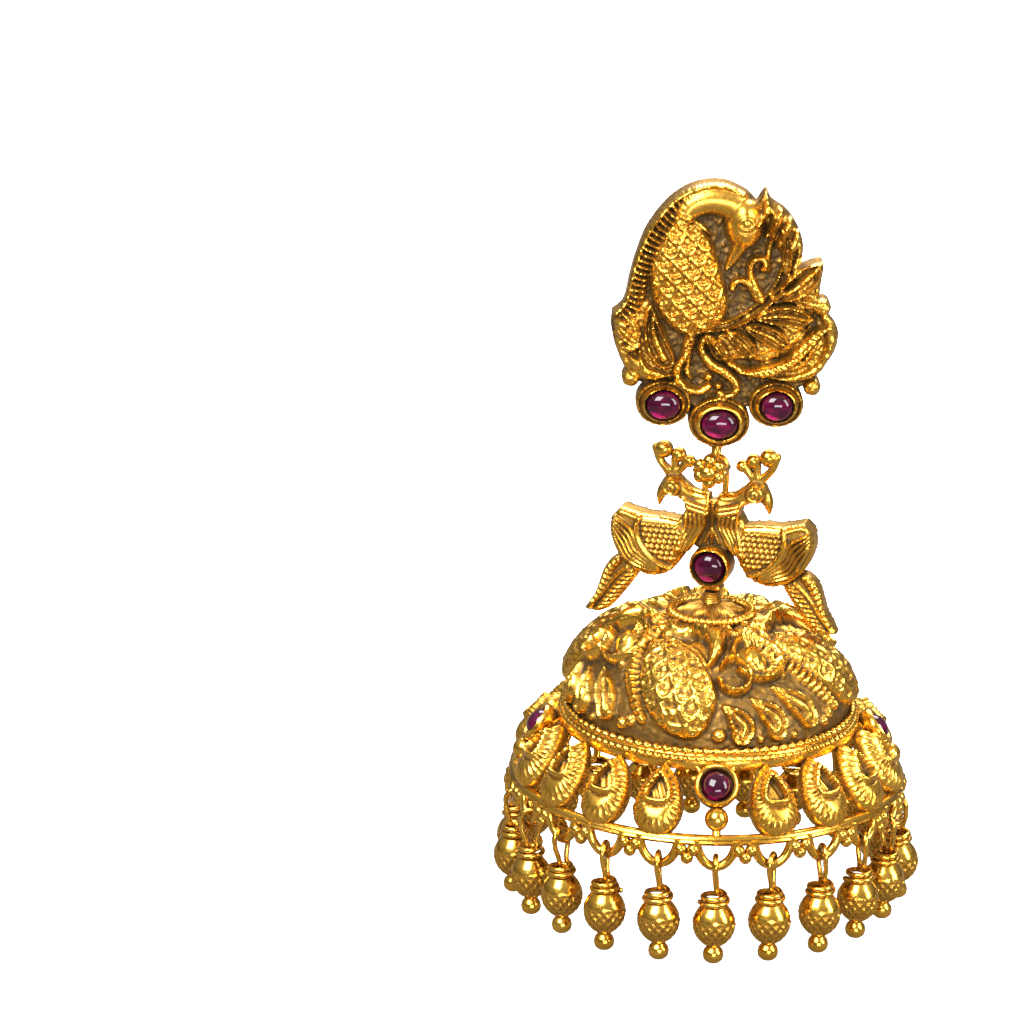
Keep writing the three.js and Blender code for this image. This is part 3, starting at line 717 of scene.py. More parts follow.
def plaque_bird(relief):
    body = outline([
        [(-4.3, 6.6), (-5.6, 4.9), (-6.6, 2.6), (-6.6, 0.3), (-6.0, -1.8), (-5.1, -3.2), (-3.7, -4.2),
         (-2.2, -4.3), (-0.5, -3.5), (0.5, -1.7), (0.2, 0.2), (-0.4, 2.1), (-1.2, 4.4), (-2.4, 5.4)],
        [(-4.3, 6.6)],
    ])
    mask = relief.mound(body, 1.5, 2.9)
    relief.line([(-3.9, 6.3), (-2.9, 7.5), (-1.3, 8.0), (0.6, 7.6), (1.7, 6.6)],
                [0.8, 1.2, 1.3, 1.4, 1.4], 1.15)
    relief.mound(circle(1.65, 5.95, 1.75, 2.3), 1.95, 1.7)
    relief.line([(1.7, 5.6), (1.5, 4.4), (0.9, 3.1), (0.2, 1.8)], [1.2, 0.8, 0.55, 0.15], [1.5, 1.1, 0.7])
    relief.settle()
    lean = math.radians(12)
    u = relief.a * math.cos(lean) + relief.b * math.sin(lean)
    v = relief.b * math.cos(lean) - relief.a * math.sin(lean)
    depth = relief.region(body)[1]
    relief.scales(mask & (depth > 0.25), u, v, 1.6, 1.15, 0.42, pit=1.0)
    relief.line([(-4.4, 6.9), (-3.1, 6.3), (-2.0, 5.5), (-1.3, 4.9)], [0.1, 0.24, 0.28, 0.1], 0.5)
    relief.line([(-3.7, 6.1), (-2.6, 5.5), (-1.5, 4.5)], [0.1, 0.24, 0.1], 0.45)
    relief.line([(-4.7, 5.9), (-3.6, 5.3), (-2.5, 4.6)], [0.05, 0.15, 0.05], 0.35)
    relief.line(circle(1.8, 6.2, 0.62, 0.5), 0.15, 0.24, closed=True)
    relief.line(circle(1.8, 6.0, 1.0, 0.85)[28:47], [0.05, 0.14, 0.05], 0.16)
    relief.dot(1.8, 6.2, 0.34, 0.26)
    relief.groove([(1.0, 4.9), (1.2, 3.9), (0.7, 2.8), (0.3, 2.0)], 0.14, 0.35)
    relief.line([(2.8, 6.0), (3.6, 7.2), (3.5, 8.7)], [0.2, 0.42, 0.12], [0.7, 1.1, 0.7])
    relief.line([(3.7, 4.9), (4.3, 6.5), (3.7, 8.1)], [0.25, 0.3, 0.1], 0.8)


def plaque_fields(relief):
    """Low swellings that the feathers and scrolls lie on; what is left between them is the dark ground."""
    feathers = [(2.9, 7.7), (3.7, 8.5), (5.4, 6.9), (6.6, 5.0), (6.8, 2.8), (6.0, 0.8), (5.3, 1.4),
                (5.0, 3.4), (4.2, 4.6), (3.4, 6.0)]
    fronds = [(1.2, -3.1), (4.6, -0.5), (8.5, 2.2), (8.8, -1.0), (7.6, -2.9), (6.2, -5.1), (3.6, -5.9),
              (0.6, -6.6), (-1.2, -4.9)]
    scroll = [(9.7, -2.6), (10.2, -5.0), (8.6, -7.9), (5.2, -8.4), (1.6, -7.7), (3.4, -6.9), (6.6, -6.0),
              (8.6, -4.0)]
    corner = [(-9.7, -3.2), (-8.0, -2.4), (-6.6, -1.2), (-4.6, -5.0), (-4.2, -7.6), (-6.4, -8.6),
              (-8.4, -7.6), (-9.6, -5.4)]
    for field in (feathers, fronds, scroll, corner):
        relief.mound(outline([field, [field[0]]]), 0.5, 0.6)
    relief.settle()


def plaque_leaves(relief):
    stem = [(-2.8, -3.9), (-1.0, -3.7), (1.4, -2.9), (3.5, -1.4), (4.8, 0.1), (5.5, 2.0),
            (5.6, 3.9), (5.2, 5.5)]
    relief.leafy([(4.4, -0.6), (6.3, 0.3), (8.7, 2.4)], 1.2, 1.05)
    relief.leafy([(3.2, -2.5), (5.4, -2.2), (8.2, -2.7)], 1.02, 1.1)
    relief.leafy([(2.2, -3.4), (4.0, -4.0), (6.1, -5.3)], 0.95, 1.05)
    relief.leafy([(0.5, -4.0), (1.7, -4.7), (3.0, -6.1)], 0.85, 1.0)
    relief.leafy([(-1.4, -4.3), (-0.5, -5.3), (0.5, -6.7)], 0.75, 0.95)
    relief.leafy([(6.1, -0.9), (7.2, -1.0), (8.3, -1.5)], 0.55, 0.6)
    relief.line([(4.1, 4.6), (4.5, 5.9), (4.9, 7.2)], [0.2, 0.4, 0.3], 0.75)
    relief.line([(4.7, 3.9), (5.3, 5.2), (5.9, 6.4)], [0.2, 0.4, 0.3], 0.7)
    relief.line([(5.8, 3.2), (6.2, 4.2), (6.5, 5.2)], [0.2, 0.4, 0.35], 0.75)
    relief.line([(4.0, 1.6), (3.9, 3.2), (4.2, 4.8)], [0.15, 0.25, 0.25], 0.5)
    relief.line([(6.3, 1.9), (6.7, 3.2), (6.7, 4.4)], 0.35, 0.65)
    relief.settle()
    relief.line(stem, [0.15, 0.45, 0.5, 0.5, 0.45, 0.35], 0.8, double)


def plaque_scrolls(relief):
    relief.line([(3.4, -0.9), (2.7, 0.5), (2.3, 1.8), (2.6, 2.7), (3.4, 2.8), (3.7, 2.2)],
                [0.42, 0.36, 0.32, 0.3], 1.1)
    relief.dot(3.6, 1.9, 0.42, 0.9)
    relief.line([(3.0, -0.8), (2.4, 0.3), (1.7, 0.8), (1.0, 0.7), (0.8, 0.1)], [0.4, 0.34, 0.3], 1.0)
    relief.line([(10.0, -3.0), (8.7, -3.8), (7.5, -5.2), (5.9, -6.7), (4.1, -7.5), (2.1, -7.5), (0.7, -6.8)],
                [0.32, 0.52, 0.56, 0.52, 0.3], 1.15, toothed(0.55, 0.2, 0.3))
    relief.line([(7.9, -3.4), (6.3, -5.0), (4.0, -6.1), (1.9, -6.3)], [0.1, 0.55, 0.6, 0.15], 0.35)
    relief.line([(9.4, -2.6), (9.9, -4.2), (9.5, -6.0), (8.5, -7.3), (6.6, -8.2), (4.5, -8.0)],
                [0.6, 0.6, 0.5, 0.45, 0.4, 0.1], [0.9, 0.8, 0.65, 0.6])
    relief.line([(8.0, -5.6), (7.4, -6.6), (6.0, -7.4)], [0.1, 0.3, 0.1], 0.4)
    relief.line([(-2.8, -4.2), (-3.0, -5.3), (-3.2, -6.3)], 0.55, 1.1, toothed(0.4, 0.5))
    relief.line([(-3.2, -6.0), (-3.9, -7.2), (-3.8, -8.4), (-3.0, -9.2), (-1.9, -9.4), (-1.1, -8.9)],
                [0.34, 0.42, 0.46, 0.42], 1.2)
    relief.line([(-2.9, -6.6), (-3.1, -7.6), (-2.6, -8.5)], [0.2, 0.35, 0.1], 0.6, toothed(0.3, 0.6))
    relief.dot(-1.1, -8.1, 0.45, 1.0)
    relief.line([(-1.7, -4.6), (-1.8, -5.6), (-0.9, -6.9), (0.6, -7.8), (1.4, -8.7), (1.3, -9.5),
                 (0.5, -9.8)],
                [0.3, 0.45, 0.52, 0.5, 0.42, 0.3], 1.2)
    relief.dot(-0.2, -8.9, 0.4, 0.9)
    relief.dot(0.0, -9.7, 0.4, 0.7)
    relief.line([(-6.6, -1.6), (-6.9, -3.4), (-6.7, -5.2), (-5.8, -6.8), (-4.8, -7.2), (-4.3, -6.5),
                 (-4.8, -5.3), (-5.6, -3.8), (-6.2, -2.2)], 0.17, 0.8, toothed(0.3, 0.4), closed=True)
    relief.line([(-6.3, -2.6), (-6.1, -4.4), (-5.2, -6.4)], [0.1, 0.3, 0.35], 0.75)
    relief.leafy([(-9.6, -3.2), (-8.6, -4.2), (-7.3, -5.3)], 0.6, 0.7)
    relief.leafy([(-8.5, -2.6), (-7.9, -3.6), (-7.5, -4.9)], 0.45, 0.6)
    relief.line([(-9.1, -5.3), (-8.2, -5.5), (-7.3, -5.1)], [0.2, 0.42, 0.1], 0.75)
    relief.line([(-8.3, -6.2), (-7.0, -7.4), (-5.6, -7.9), (-4.3, -8.0)], [0.15, 0.5, 0.4, 0.1], 0.8)
    relief.line([(-7.4, -5.6), (-7.2, -6.8), (-6.4, -7.6)], [0.1, 0.3, 0.1], 0.9)
    relief.line([(-8.0, -7.2), (-6.9, -8.0), (-5.6, -8.4)], [0.2, 0.3, 0.1], 0.5)
    for x, z in PLAQUE_GRANULES:
        relief.dot(x, z, GRANULE_RADIUS, 0.95)


def plaque_bezels(relief):
    """Each bezel has a beaded outer edge, a groove and a collar that closes on its stone."""
    for _, x, z, half_width, half_height, stone_width, stone_height in PLAQUE_BEZELS:
        out = np.hypot((relief.a - x) / half_width, (relief.b - z) / half_height)
        within = (1 - out) * (half_width + half_height) / 2
        seat = np.hypot((relief.a - x) / (stone_width + 0.06), (relief.b - z) / (stone_height + 0.06)) < 1
        shape = np.interp(within, [0, 0.1, 0.22, 0.33, 0.4, 0.48, 0.58, 0.78, 1.2],
                          [2.3, 2.65, 2.72, 2.5, 2.1, 2.75, 3.2, 3.4, 3.3])
        shape = np.where(seat, 2.6, shape)
        relief.height = np.where(out < 1, shape, relief.height)


def stud_plaque():
    x, z = flat_grid((-10.6, -15.2), (10.9, 9.9), 0.088)
    relief = Relief(x, z, flat_lift, PLAQUE_GROUND)
    relief.pitted(0.06, 2, seed=1)
    relief.settle()
    plaque_fields(relief)
    fields = relief.base.copy()
    plaque_border(relief)
    plaque_leaves(relief)
    relief.base = fields
    plaque_scrolls(relief)
    relief.base = np.full(x.shape, PLAQUE_GROUND)
    plaque_bird(relief)
    plaque_bezels(relief)
    deep = np.maximum(relief.cavity(8, 0.85), np.clip((PLAQUE_GROUND + 0.3 - relief.height) / 0.25, 0, 1))
    edges = [edge_of(relief, outline(PLAQUE_EDGE))]
    edges += [edge_of(relief, circle(bx, bz, w, h)) for _, bx, bz, w, h, _, _ in PLAQUE_BEZELS]
    edges += [edge_of(relief, circle(gx, gz, GRANULE_RADIUS)) for gx, gz in PLAQUE_GRANULES]
    edge = union(*edges)
    near = np.clip(1 + edge / 0.3, 0, 1)
    fall = 1 - np.sqrt(1 - near ** 2)
    front = blurred(relief.height - 0.3 * fall, 1)
    grain = blurred(np.random.default_rng(8).random(x.shape), 3)
    behind_loop = (abs(x) < 0.93) & (z < -13.5)
    back = np.where(behind_loop, -1.9, 0.0) - 0.25 * fall - 0.3 * np.clip(grain - 0.5, 0, 1)
    back_deep = np.clip(0.15 + 4 * (grain - 0.5), 0, 1)
    form = casting(relief, edge, front, back, deep, walls=6, back_deep=back_deep, wall_deep=0.25)
    single_piece(form, "stud_cast_plaque", ANTIQUE, IN_PLACE, "stud", "antique_gold", "stud_plaque")
    angle = full_turn(40)
    ring = np.stack([STUD_EYE_RADIUS * np.sin(angle), np.full(40, AXIS.y),
                     STUD_EYE_Z + STUD_EYE_RADIUS * np.cos(angle)], 1)
    loop = swept(ring, 0.3, 10, closed=True)
    single_piece(loop, "stud_loop", BRIGHT, IN_PLACE, "stud", "antique_gold", "stud_plaque")


def stud_stones():
    for name, x, z, _, _, half_width, half_height in PLAQUE_BEZELS:
        node = f"stud_ruby_{name}"
        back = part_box(node)[1].y / MM
        place = Matrix.Translation((x, back, z))
        stone(f"ruby_{name}", node, "stud", place, half_width, half_height, 1.1)


def ear_post():
    """A straight post on a soldered foot, with a groove near its end that the clutch snaps into."""
    low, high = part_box("ear_post")
    end = high.y / MM
    start = low.y / MM
    radius = (high.x - low.x) / MM / 2
    foot = start - 0.2
    profile = [(0, foot), (radius * 1.7, foot), (radius * 1.8, foot + 0.1), (radius * 1.3, foot + 0.35),
               (radius, start + 0.4)]
    profile += [(radius, y) for y in np.linspace(start + 0.5, end - 2.2, 8)]
    profile += [(radius * 0.8, end - 1.9), (radius * 0.8, end - 1.5), (radius, end - 1.2),
                (radius, end - 0.7), (radius * 0.8, end - 0.25), (radius * 0.35, end), (0, end)]
    points, faces = lathe(profile, 28)
    form = (points[:, [0, 2, 1]], faces)
    single_piece(form, "post", BRIGHT, IN_PLACE, "stud", "bright_gold", "ear_post")


def link_ring():
    low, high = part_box("link_ring")
    wire = 0.38
    radius = (high.z - low.z) / MM / 2 - wire
    angle = full_turn(56)
    path = np.stack([np.zeros(56), radius * np.sin(angle), radius * np.cos(angle)], 1)
    wobble = 0.012 * np.sin(angle * 5 + 1)
    place = Matrix.Translation(middle("link_ring")) @ Matrix.Rotation(math.radians(PENDANT_TURN / 2), 4, "Z")
    form = swept(path, wire + wobble - 0.01, 14, closed=True)
    single_piece(form, "ring", BRIGHT, place, "link", "bright_gold", "link_ring")


# ---------------------------------------------------------------- peacock pair, left bird drawn

BIRD_BODY = [
    [(-8.6, -21.6), (-6.6, -22.1), (-4.6, -22.2), (-3.0, -22.4)],
    [(-2.3, -23.6), (-2.4, -25.2), (-3.1, -26.6), (-4.3, -27.6), (-5.9, -27.9), (-7.6, -27.2), (-8.9, -25.9),
     (-9.6, -24.0), (-9.5, -22.6)],
]
BIRD_NECK = [
    [(-2.7, -20.3), (-2.6, -21.4), (-3.2, -22.7), (-3.0, -25.0)],
    [(-2.2, -25.3), (-1.4, -24.3), (-0.7, -23.0), (-0.3, -21.6), (-0.4, -20.2)],
]
BIRD_NAPE = [
    [(-4.0, -20.2), (-2.8, -20.5), (-0.5, -21.0)],
    [(-0.4, -19.8), (-1.8, -19.5), (-2.8, -18.8), (-3.9, -18.3)],
]
BIRD_BEAK = [
    [(-4.2, -18.4), (-5.0, -19.0), (-5.45, -20.2), (-5.2, -21.4)],
    [(-4.6, -20.4), (-4.0, -20.0)],
]
BIRD_TAIL = [
    [(-7.4, -26.9), (-8.6, -26.5), (-9.7, -27.0), (-10.4, -28.4), (-10.9, -30.1), (-12.0, -31.9)],
    [(-10.9, -32.1), (-9.6, -31.6), (-8.3, -30.1), (-6.6, -27.6)],
]
CREST_BALLS = [(-4.9, -15.98, 0.82), (-3.5, -16.4, 0.68), (-2.45, -16.95, 0.55)]
SETTING_Z = -26.5
SETTING_RADIUS = 1.95


def add_part(relief, edges, edge, lip, tall, rounding):
    """Raises one part of the casting from its lip to its middle, and notes its edge."""
    share = np.clip(1 + edge / rounding, 0, 1)
    height = lip + (tall - lip) * np.sqrt(1 - share ** 2)
    covered = edge < 0.4 * (relief.a[0, 1] - relief.a[0, 0])
    relief.height = np.where(covered, np.maximum(relief.height, height), relief.height)
    edges.append(edge)


def bird_parts(relief):
    edges = []
    add_part(relief, edges, edge_of(relief, outline(BIRD_TAIL)), 0.5, 0.72, 0.4)
    add_part(relief, edges, edge_of(relief, outline(BIRD_BEAK)), 0.2, 0.6, 0.6)
    add_part(relief, edges, edge_of(relief, outline(BIRD_NAPE)), 0.35, 0.95, 0.8)
    add_part(relief, edges, edge_of(relief, outline(BIRD_NECK)), 0.75, 1.1, 0.5)
    add_part(relief, edges, edge_of(relief, outline(BIRD_BODY)), 1.05, 1.55, 1.4)
    add_part(relief, edges, edge_of(relief, circle(-3.85, -19.25, 1.15, 1.08)), 0.2, 1.15, 1.1)
    for index, (x, z, radius) in enumerate(CREST_BALLS):
        bow = (-0.75, -0.15, -0.05)[index]
        stem = [(x - 0.2 + bow * 0.7, z + 0.1), ((x - 3.9) / 2 + bow, (z - 18.4) / 2),
                (-3.9 - 0.1 * index, -18.5)]
        add_part(relief, edges, stick_edge(relief, stem, [0.42, 0.34, 0.48]), 0.05, 0.42, 0.35)
        add_part(relief, edges, edge_of(relief, circle(x, z, radius, count=24)), 0.05, radius, radius)
    return edges


def bird_details(relief):
    relief.settle()
    for shift in (0.0, 0.42, 0.84, 1.26, 1.66):
        relief.line([(-2.45 + shift, -21.6), (-2.35 + shift, -22.6), (-2.75 + shift * 0.85, -23.8),
                     (-3.2 + shift * 0.75, -25.2)], 0.17, 0.42)
    relief.line([(-2.85, -20.6), (-1.6, -21.0), (-0.4, -21.25)], 0.5, 0.42, plateau)
    relief.groove([(-2.85, -20.6), (-1.6, -21.0), (-0.4, -21.25)], 0.14, 0.2)
    border = [(-6.8, -22.3), (-6.95, -23.5), (-6.5, -24.9), (-5.2, -26.3), (-3.6, -27.0)]
    relief.line(border, [0.2, 0.28, 0.28, 0.2], 0.5)
    patch = outline([[(-6.6, -22.6), (-3.2, -22.7)], [(-2.6, -24.2), (-3.3, -26.6)],
                     [(-5.1, -26.0), (-6.2, -24.8), (-6.6, -23.4)]])
    mask, depth = relief.region(patch)
    relief.beads(mask & (depth > 0.1), relief.a + 0.25 * relief.b, relief.b, 0.52, 0.36)
    for share in (0, 0.25, 0.5, 0.75, 1):
        relief.line([(-9.2 - 0.1 * share, -22.4 - 1.3 * share), (-7.55 - 0.95 * share, -23.5 - 1.7 * share),
                     (-6.75 - 0.75 * share, -25.1 - 1.5 * share), (-4.7, -26.8 - 0.7 * share)],
                    [0.12, 0.18, 0.18, 0.1], 0.5)
    relief.line([(-9.3, -22.3), (-8.4, -22.0), (-7.2, -22.4)], 0.16, 0.2)
    spine = [(-7.9, -27.4), (-9.2, -28.6), (-10.3, -30.2), (-11.6, -31.9)]
    relief.line(spine, [0.22, 0.2, 0.2, 0.15], 0.34)
    relief.line([(-8.8, -26.8), (-9.7, -27.8), (-10.3, -29.3), (-11.4, -31.3)], [0.35, 0.5, 0.42, 0.25], 0.5,
                toothed(0.55, 0.7))
    relief.line([(-7.4, -27.7), (-8.6, -29.2), (-9.7, -30.7), (-10.8, -31.9)], [0.4, 0.55, 0.5, 0.25], 0.55,
                toothed(0.55, 0.9, 0.5))
    relief.line([(-7.0, -28.1), (-8.2, -29.9), (-9.7, -31.4)], 0.16, 0.22)
    relief.line(circle(-3.95, -19.3, 0.66, count=20), 0.2, 0.5, closed=True)
    relief.dot(-3.95, -19.3, 0.5, 0.4)
    relief.groove([(-3.95, -19.3), (-3.95, -19.31)], 0.16, 0.3)
    relief.line([(-4.9, -19.5), (-5.2, -20.3), (-5.15, -21.2)], [0.25, 0.2, 0.1], 0.12)
    relief.groove([(-4.3, -19.9), (-4.9, -20.2), (-5.1, -20.9)], 0.1, 0.15)


def peacock_pair():
    step = 0.09
    x, z = np.meshgrid(np.arange(-137, 138) * step, np.arange(-32.5, -14.9, step))
    relief = Relief(x, z, flat_lift)
    edge = union(*bird_parts(relief))
    bird_details(relief)
    half = x.shape[1] // 2
    relief.height[:, half + 1:] = relief.height[:, :half][:, ::-1]
    edge[:, half + 1:] = edge[:, :half][:, ::-1]
    edges = [edge]
    web = [(-1.0, -20.3), (-1.4, -22.6), (-1.6, -24.9)]
    add_part(relief, edges, edge_of(relief, outline([web, mirrored(web)])), 0.55, 0.7, 0.3)
    foot = [(-1.2, -27.6), (-0.75, -28.3), (-1.0, -28.9)]
    add_part(relief, edges, edge_of(relief, outline([foot, mirrored(foot)])), 0.75, 1.0, 0.5)
    relief.settle()
    relief.line([(0, -20.4), (0, -22.0), (0, -24.3)], 0.14, 0.35)
    relief.line([(-0.05, -22.8), (-0.7, -24.3)], 0.12, 0.3)
    relief.line([(0.05, -22.8), (0.7, -24.3)], 0.12, 0.3)
    back = relief.height.copy()
    out = np.hypot(x, z - SETTING_Z)
    rim = np.interp(out, [0, 1.52, 1.56, 1.7, 1.86, SETTING_RADIUS], [0.9, 0.9, 1.85, 2.0, 1.85, 1.5])
    front = np.where(out < SETTING_RADIUS, rim, relief.height)
    boss = np.interp(out, [0, 1.2, 1.5, 1.8, SETTING_RADIUS], [1.0, 1.0, 1.2, 1.15, 0.9])
    back = np.where(out < SETTING_RADIUS, boss, back)
    edges.append(out - SETTING_RADIUS)
    relief.height = front
    deep = relief.cavity(8, 0.15)
    form = casting(relief, union(*edges), blurred(front, 1), blurred(back, 1), deep, walls=4, wall_deep=0.4)
    single_piece(form, "pair_casting", ANTIQUE, PENDANT, "pendant", "antique_gold", "peacock_pair")


def pair_loop_and_flower():
    """The eye behind the flower, and the flower of balls that stands in front of it."""
    pivot = -17.12
    radius = 0.98
    angle = np.linspace(math.pi, 0, 18)
    arch = np.stack([radius * np.cos(angle), np.zeros(18), pivot + radius * np.sin(angle)], 1)
    left = [(-0.88, 0, -20.4), (-0.95, 0, -19.4), (-radius, 0, -18.2)]
    right = [(x * -1, y, z) for x, y, z in reversed(left)]
    wire = spline(np.vstack([left, arch, right]), per_mm=4)
    loop = Shell()
    loop.add(*swept(wire, 0.3, 10))
    balls_y = -2.77
    centre_z = -16.95
    for side in (-1, 1):
        lug = spline([(side * 1.16, 0, pivot), (side * 1.3, -1.3, pivot + 0.05),
                      (side * 1.3, balls_y, centre_z)])
        loop.add(*swept(lug, 0.27, 8))
    for index in range(6):
        turn = index / 6 * 2 * math.pi + math.pi / 2
        loop.add(*globe(math.cos(turn) * 1.0, balls_y, centre_z + math.sin(turn) * 1.0, 0.62, 16))
    loop.add(*globe(0, balls_y - 0.5, centre_z, 0.78, 20))
    disc, faces = lathe([(0, 0.0), (0.9, 0.0), (1.12, 0.12), (1.12, 0.45), (0.9, 0.58), (0, 0.6)], 28)
    disc = np.stack([disc[:, 0], disc[:, 2] + balls_y, disc[:, 1] + centre_z], 1)
    loop.add(disc, faces)
    loop.finish("pair_flower", BRIGHT, PENDANT, "pendant", "antique_gold", "peacock_pair")
    back = -SETTING_RADIUS + 1.05 - 0.3
    place = PENDANT @ Matrix.Translation((0, back, SETTING_Z))
    stone("ruby_pair", "peacock_ruby", "pendant", place, 1.45, 1.45, 1.1)


# ---------------------------------------------------------------- bell dome

DOME_RADIUS = 13.1
DOME_HEIGHT = DOME_TOP_Z - FLANGE_Z
DOME_WALL = 0.9
DOME_COLUMNS = 600
DOME_ROWS = 132
MOTIFS = 4
MOTIF_TURN_DEG = 3  # from where the motif is drawn to where it lies
FLOW = 10.6  # mm up the dome for each radian of its lift angle, near the middle
OVAL_DEGREES = np.linspace(0, 360, 20)[:-1]
COLLAR_RADIUS = 3.7
POINTS_PER_TOOTH = 6
STEM_RINGS = 9


def dome_lift(turn, lift):
    """Places on the dome from degrees round it and degrees up its quarter ellipse."""
    turn = np.radians(turn)
    lift = np.radians(lift)
    return np.stack([DOME_RADIUS * np.cos(lift) * np.sin(turn), -DOME_RADIUS * np.cos(lift) * np.cos(turn),
                     FLANGE_Z + DOME_HEIGHT * np.sin(lift)], axis=-1)


def about(turn, lift, offsets):
    """Dome angles of points given in mm right of and above a place on the dome."""
    across = DOME_RADIUS * math.cos(math.radians(lift)) * math.radians(1)
    up = math.hypot(DOME_RADIUS * math.sin(math.radians(lift)), DOME_HEIGHT * math.cos(math.radians(lift)))
    return [(turn + x / across, lift + y / (up * math.radians(1))) for x, y in offsets]


def dome_bird(relief):
    body = outline([
        [(-51, 56), (-49, 50), (-45, 42), (-40, 32), (-35, 23), (-29, 15), (-23, 9), (-16, 6), (-10, 8),
         (-6, 15), (-3, 25), (-3, 34), (-7, 43), (-14, 51), (-26, 57), (-40, 59)],
        [(-51, 56)],
    ])
    mask = relief.mound(body, 1.3, 3.2)
    relief.line([(-46, 62), (-38, 67), (-26, 70), (-12, 69)], [0.5, 1.2, 1.4, 1.4], [0.7, 1.1, 1.3])
    relief.mound(oval(-4, 66, 1.5, 1.45), 1.3, 1.4)
    relief.line([(-4, 64), (-2, 57), (-4, 50), (-7, 45)], [1.1, 0.8, 0.5, 0.15], [1.4, 1.2, 0.8])
    relief.settle()
    u = DOME_RADIUS * np.cos(np.radians(relief.b)) * np.radians(relief.a + 24)
    v = FLOW * np.radians(relief.b)
    depth = relief.region(body)[1]
    relief.scales(mask & (depth > 0.2), u - 0.12 * v, v + 0.12 * u, 1.75, 1.35, 0.34, pit=0.8, soften=1.35)
    ridge = [(-51, 56), (-40, 60), (-26, 58), (-14, 52), (-6, 43)]
    relief.line(ridge, [0.15, 0.26, 0.26, 0.15], 0.45)
    relief.line([(turn, lift - 4) for turn, lift in ridge], [0.1, 0.16, 0.16, 0.1], 0.26)
    relief.line(oval(-5, 67, 0.5, 0.45, np.degrees(np.linspace(0, 5.8, 12))), 0.14, 0.22)
    relief.line([(3, 72), (10, 72), (15, 68)], [0.25, 0.4, 0.15], 0.5)


def oval(turn, lift, half_width, half_height, degrees=OVAL_DEGREES):
    """Dome angles of an oval about a place on the dome, or of the part of it that degrees covers."""
    angles = np.radians(degrees)
    offsets = [(half_width * math.cos(t), half_height * math.sin(t)) for t in angles]
    return np.array(about(turn, lift, offsets))


def dome_scroll(relief):
    """A low swelling, and on it a C-shaped scroll with fluted inside, a curl and two leaves above them."""
    relief.mound(oval(4, 56, 3.4, 2.8), 0.6, 2.6)
    relief.settle()
    relief.line(oval(22, 49, 2.25, 2.25, np.linspace(165, -150, 14)), [0.22, 0.32, 0.32, 0.32, 0.22], 1.15)
    for degrees in range(-75, 120, 15):
        spoke = [oval(22, 49, radius, radius, [degrees])[0] for radius in (1.35, 2.1)]
        relief.line(spoke, [0.14, 0.22], [0.45, 0.8])
    relief.mound(oval(22, 49, 1.1, 1.3), 0.6, 1.1)
    relief.line(oval(6, 40, 1.35, 1.5, np.linspace(140, -170, 12)), [0.18, 0.28, 0.32, 0.28], 1.35)
    relief.line([(33, 62), (38, 68), (46, 73), (58, 76)], [0.3, 0.65, 0.55, 0.25], [0.6, 0.9, 0.7])
    relief.line([(20, 64), (25, 69), (34, 73)], [0.2, 0.45, 0.2], 0.55)


def dome_commas(relief):
    for points in (
        [(0, 25), (5, 19), (8, 13), (7, 9)],
        [(13, 28), (18, 22), (22, 15), (22, 10)],
        [(24, 33), (30, 27), (36, 19), (38, 13)],
    ):
        relief.line(points, [0.15, 0.55, 1.05, 1.15, 0.95], 0.85, double)
        relief.line(points, [0.06, 0.16, 0.45, 0.5], [0.4, 0.6, 0.95, 0.85])
    for turn, lift, radius in ((-39, 12, 0.5), (-58, 40, 0.45), (-2, 9, 0.55), (33, 39, 0.45), (47, 9, 0.5),
                               (15, 6, 0.35), (30, 6, 0.35)):
        relief.dot(turn, lift, 1.15 * radius, 1.2 * radius)


def dome_top(relief):
    """Petals that run from the foot to the milled ring, and knobs outside it."""
    relief.settle()
    for turn in range(0, 360, 45):
        relief.line([(turn, 87), (turn, 81), (turn, 76)], [0.8, 0.62, 0.2], [1.0, 0.9, 0.5])
    relief.settle()
    for turn in range(10, 370, 30):
        relief.line([(turn, 71), (turn + 6, 66), (turn + 14, 64)], [0.3, 0.5, 0.2], [0.4, 0.6, 0.3])


def bell_dome():
    turns = np.arange(DOME_COLUMNS) / DOME_COLUMNS * 360 - 180
    turn, lift = np.meshgrid(turns, np.linspace(0, 89.3, DOME_ROWS))
    relief = Relief(turn, lift, dome_lift)
    relief.normals = relief.places - np.array([0, 0, FLANGE_Z])
    relief.normals /= np.array([DOME_RADIUS ** 2, DOME_RADIUS ** 2, DOME_HEIGHT ** 2])
    relief.normals /= np.linalg.norm(relief.normals, axis=2, keepdims=True)
    band = [(-47, 75), (-55, 68), (-58, 60), (-56, 52), (-52, 45), (-47, 37), (-42, 29), (-38, 21), (-34, 14)]
    relief.line(band, [0.4, 0.78, 0.82, 0.78, 0.5], [0.7, 1.15, 1.15, 0.8], toothed(0.62, 0.75))
    dome_scroll(relief)
    dome_commas(relief)
    dome_bird(relief)
    shift = round(MOTIF_TURN_DEG / 360 * DOME_COLUMNS)
    shifts = [shift + index * DOME_COLUMNS // MOTIFS for index in range(MOTIFS)]
    relief.height = np.maximum.reduce([np.roll(relief.height, columns, axis=1) for columns in shifts])
    relief.height = np.minimum(relief.height, np.interp(lift, [60, 69], [2.5, 0.3]))
    relief.pitted(0.03, 2, seed=3)
    dome_top(relief)
    height = blurred(relief.height, 1, wrap=True)
    deep = np.clip(0.15 + (blurred(height, 12, wrap=True) - height) / 0.2, 0, 1)
    pockets = 0.85 * np.clip((0.42 - height) / 0.25, 0, 1)
    deep = np.clip(np.maximum(deep, pockets) + 0.4 * np.clip((lift - 66) / 12, 0, 1), 0, 1)
    outer = relief.places + relief.normals * height[..., None]
    form = closed_dome(outer, deep)
    single_piece(form, "dome_repousse", ANTIQUE, BELL, "pendant", "antique_gold", "bell_dome")


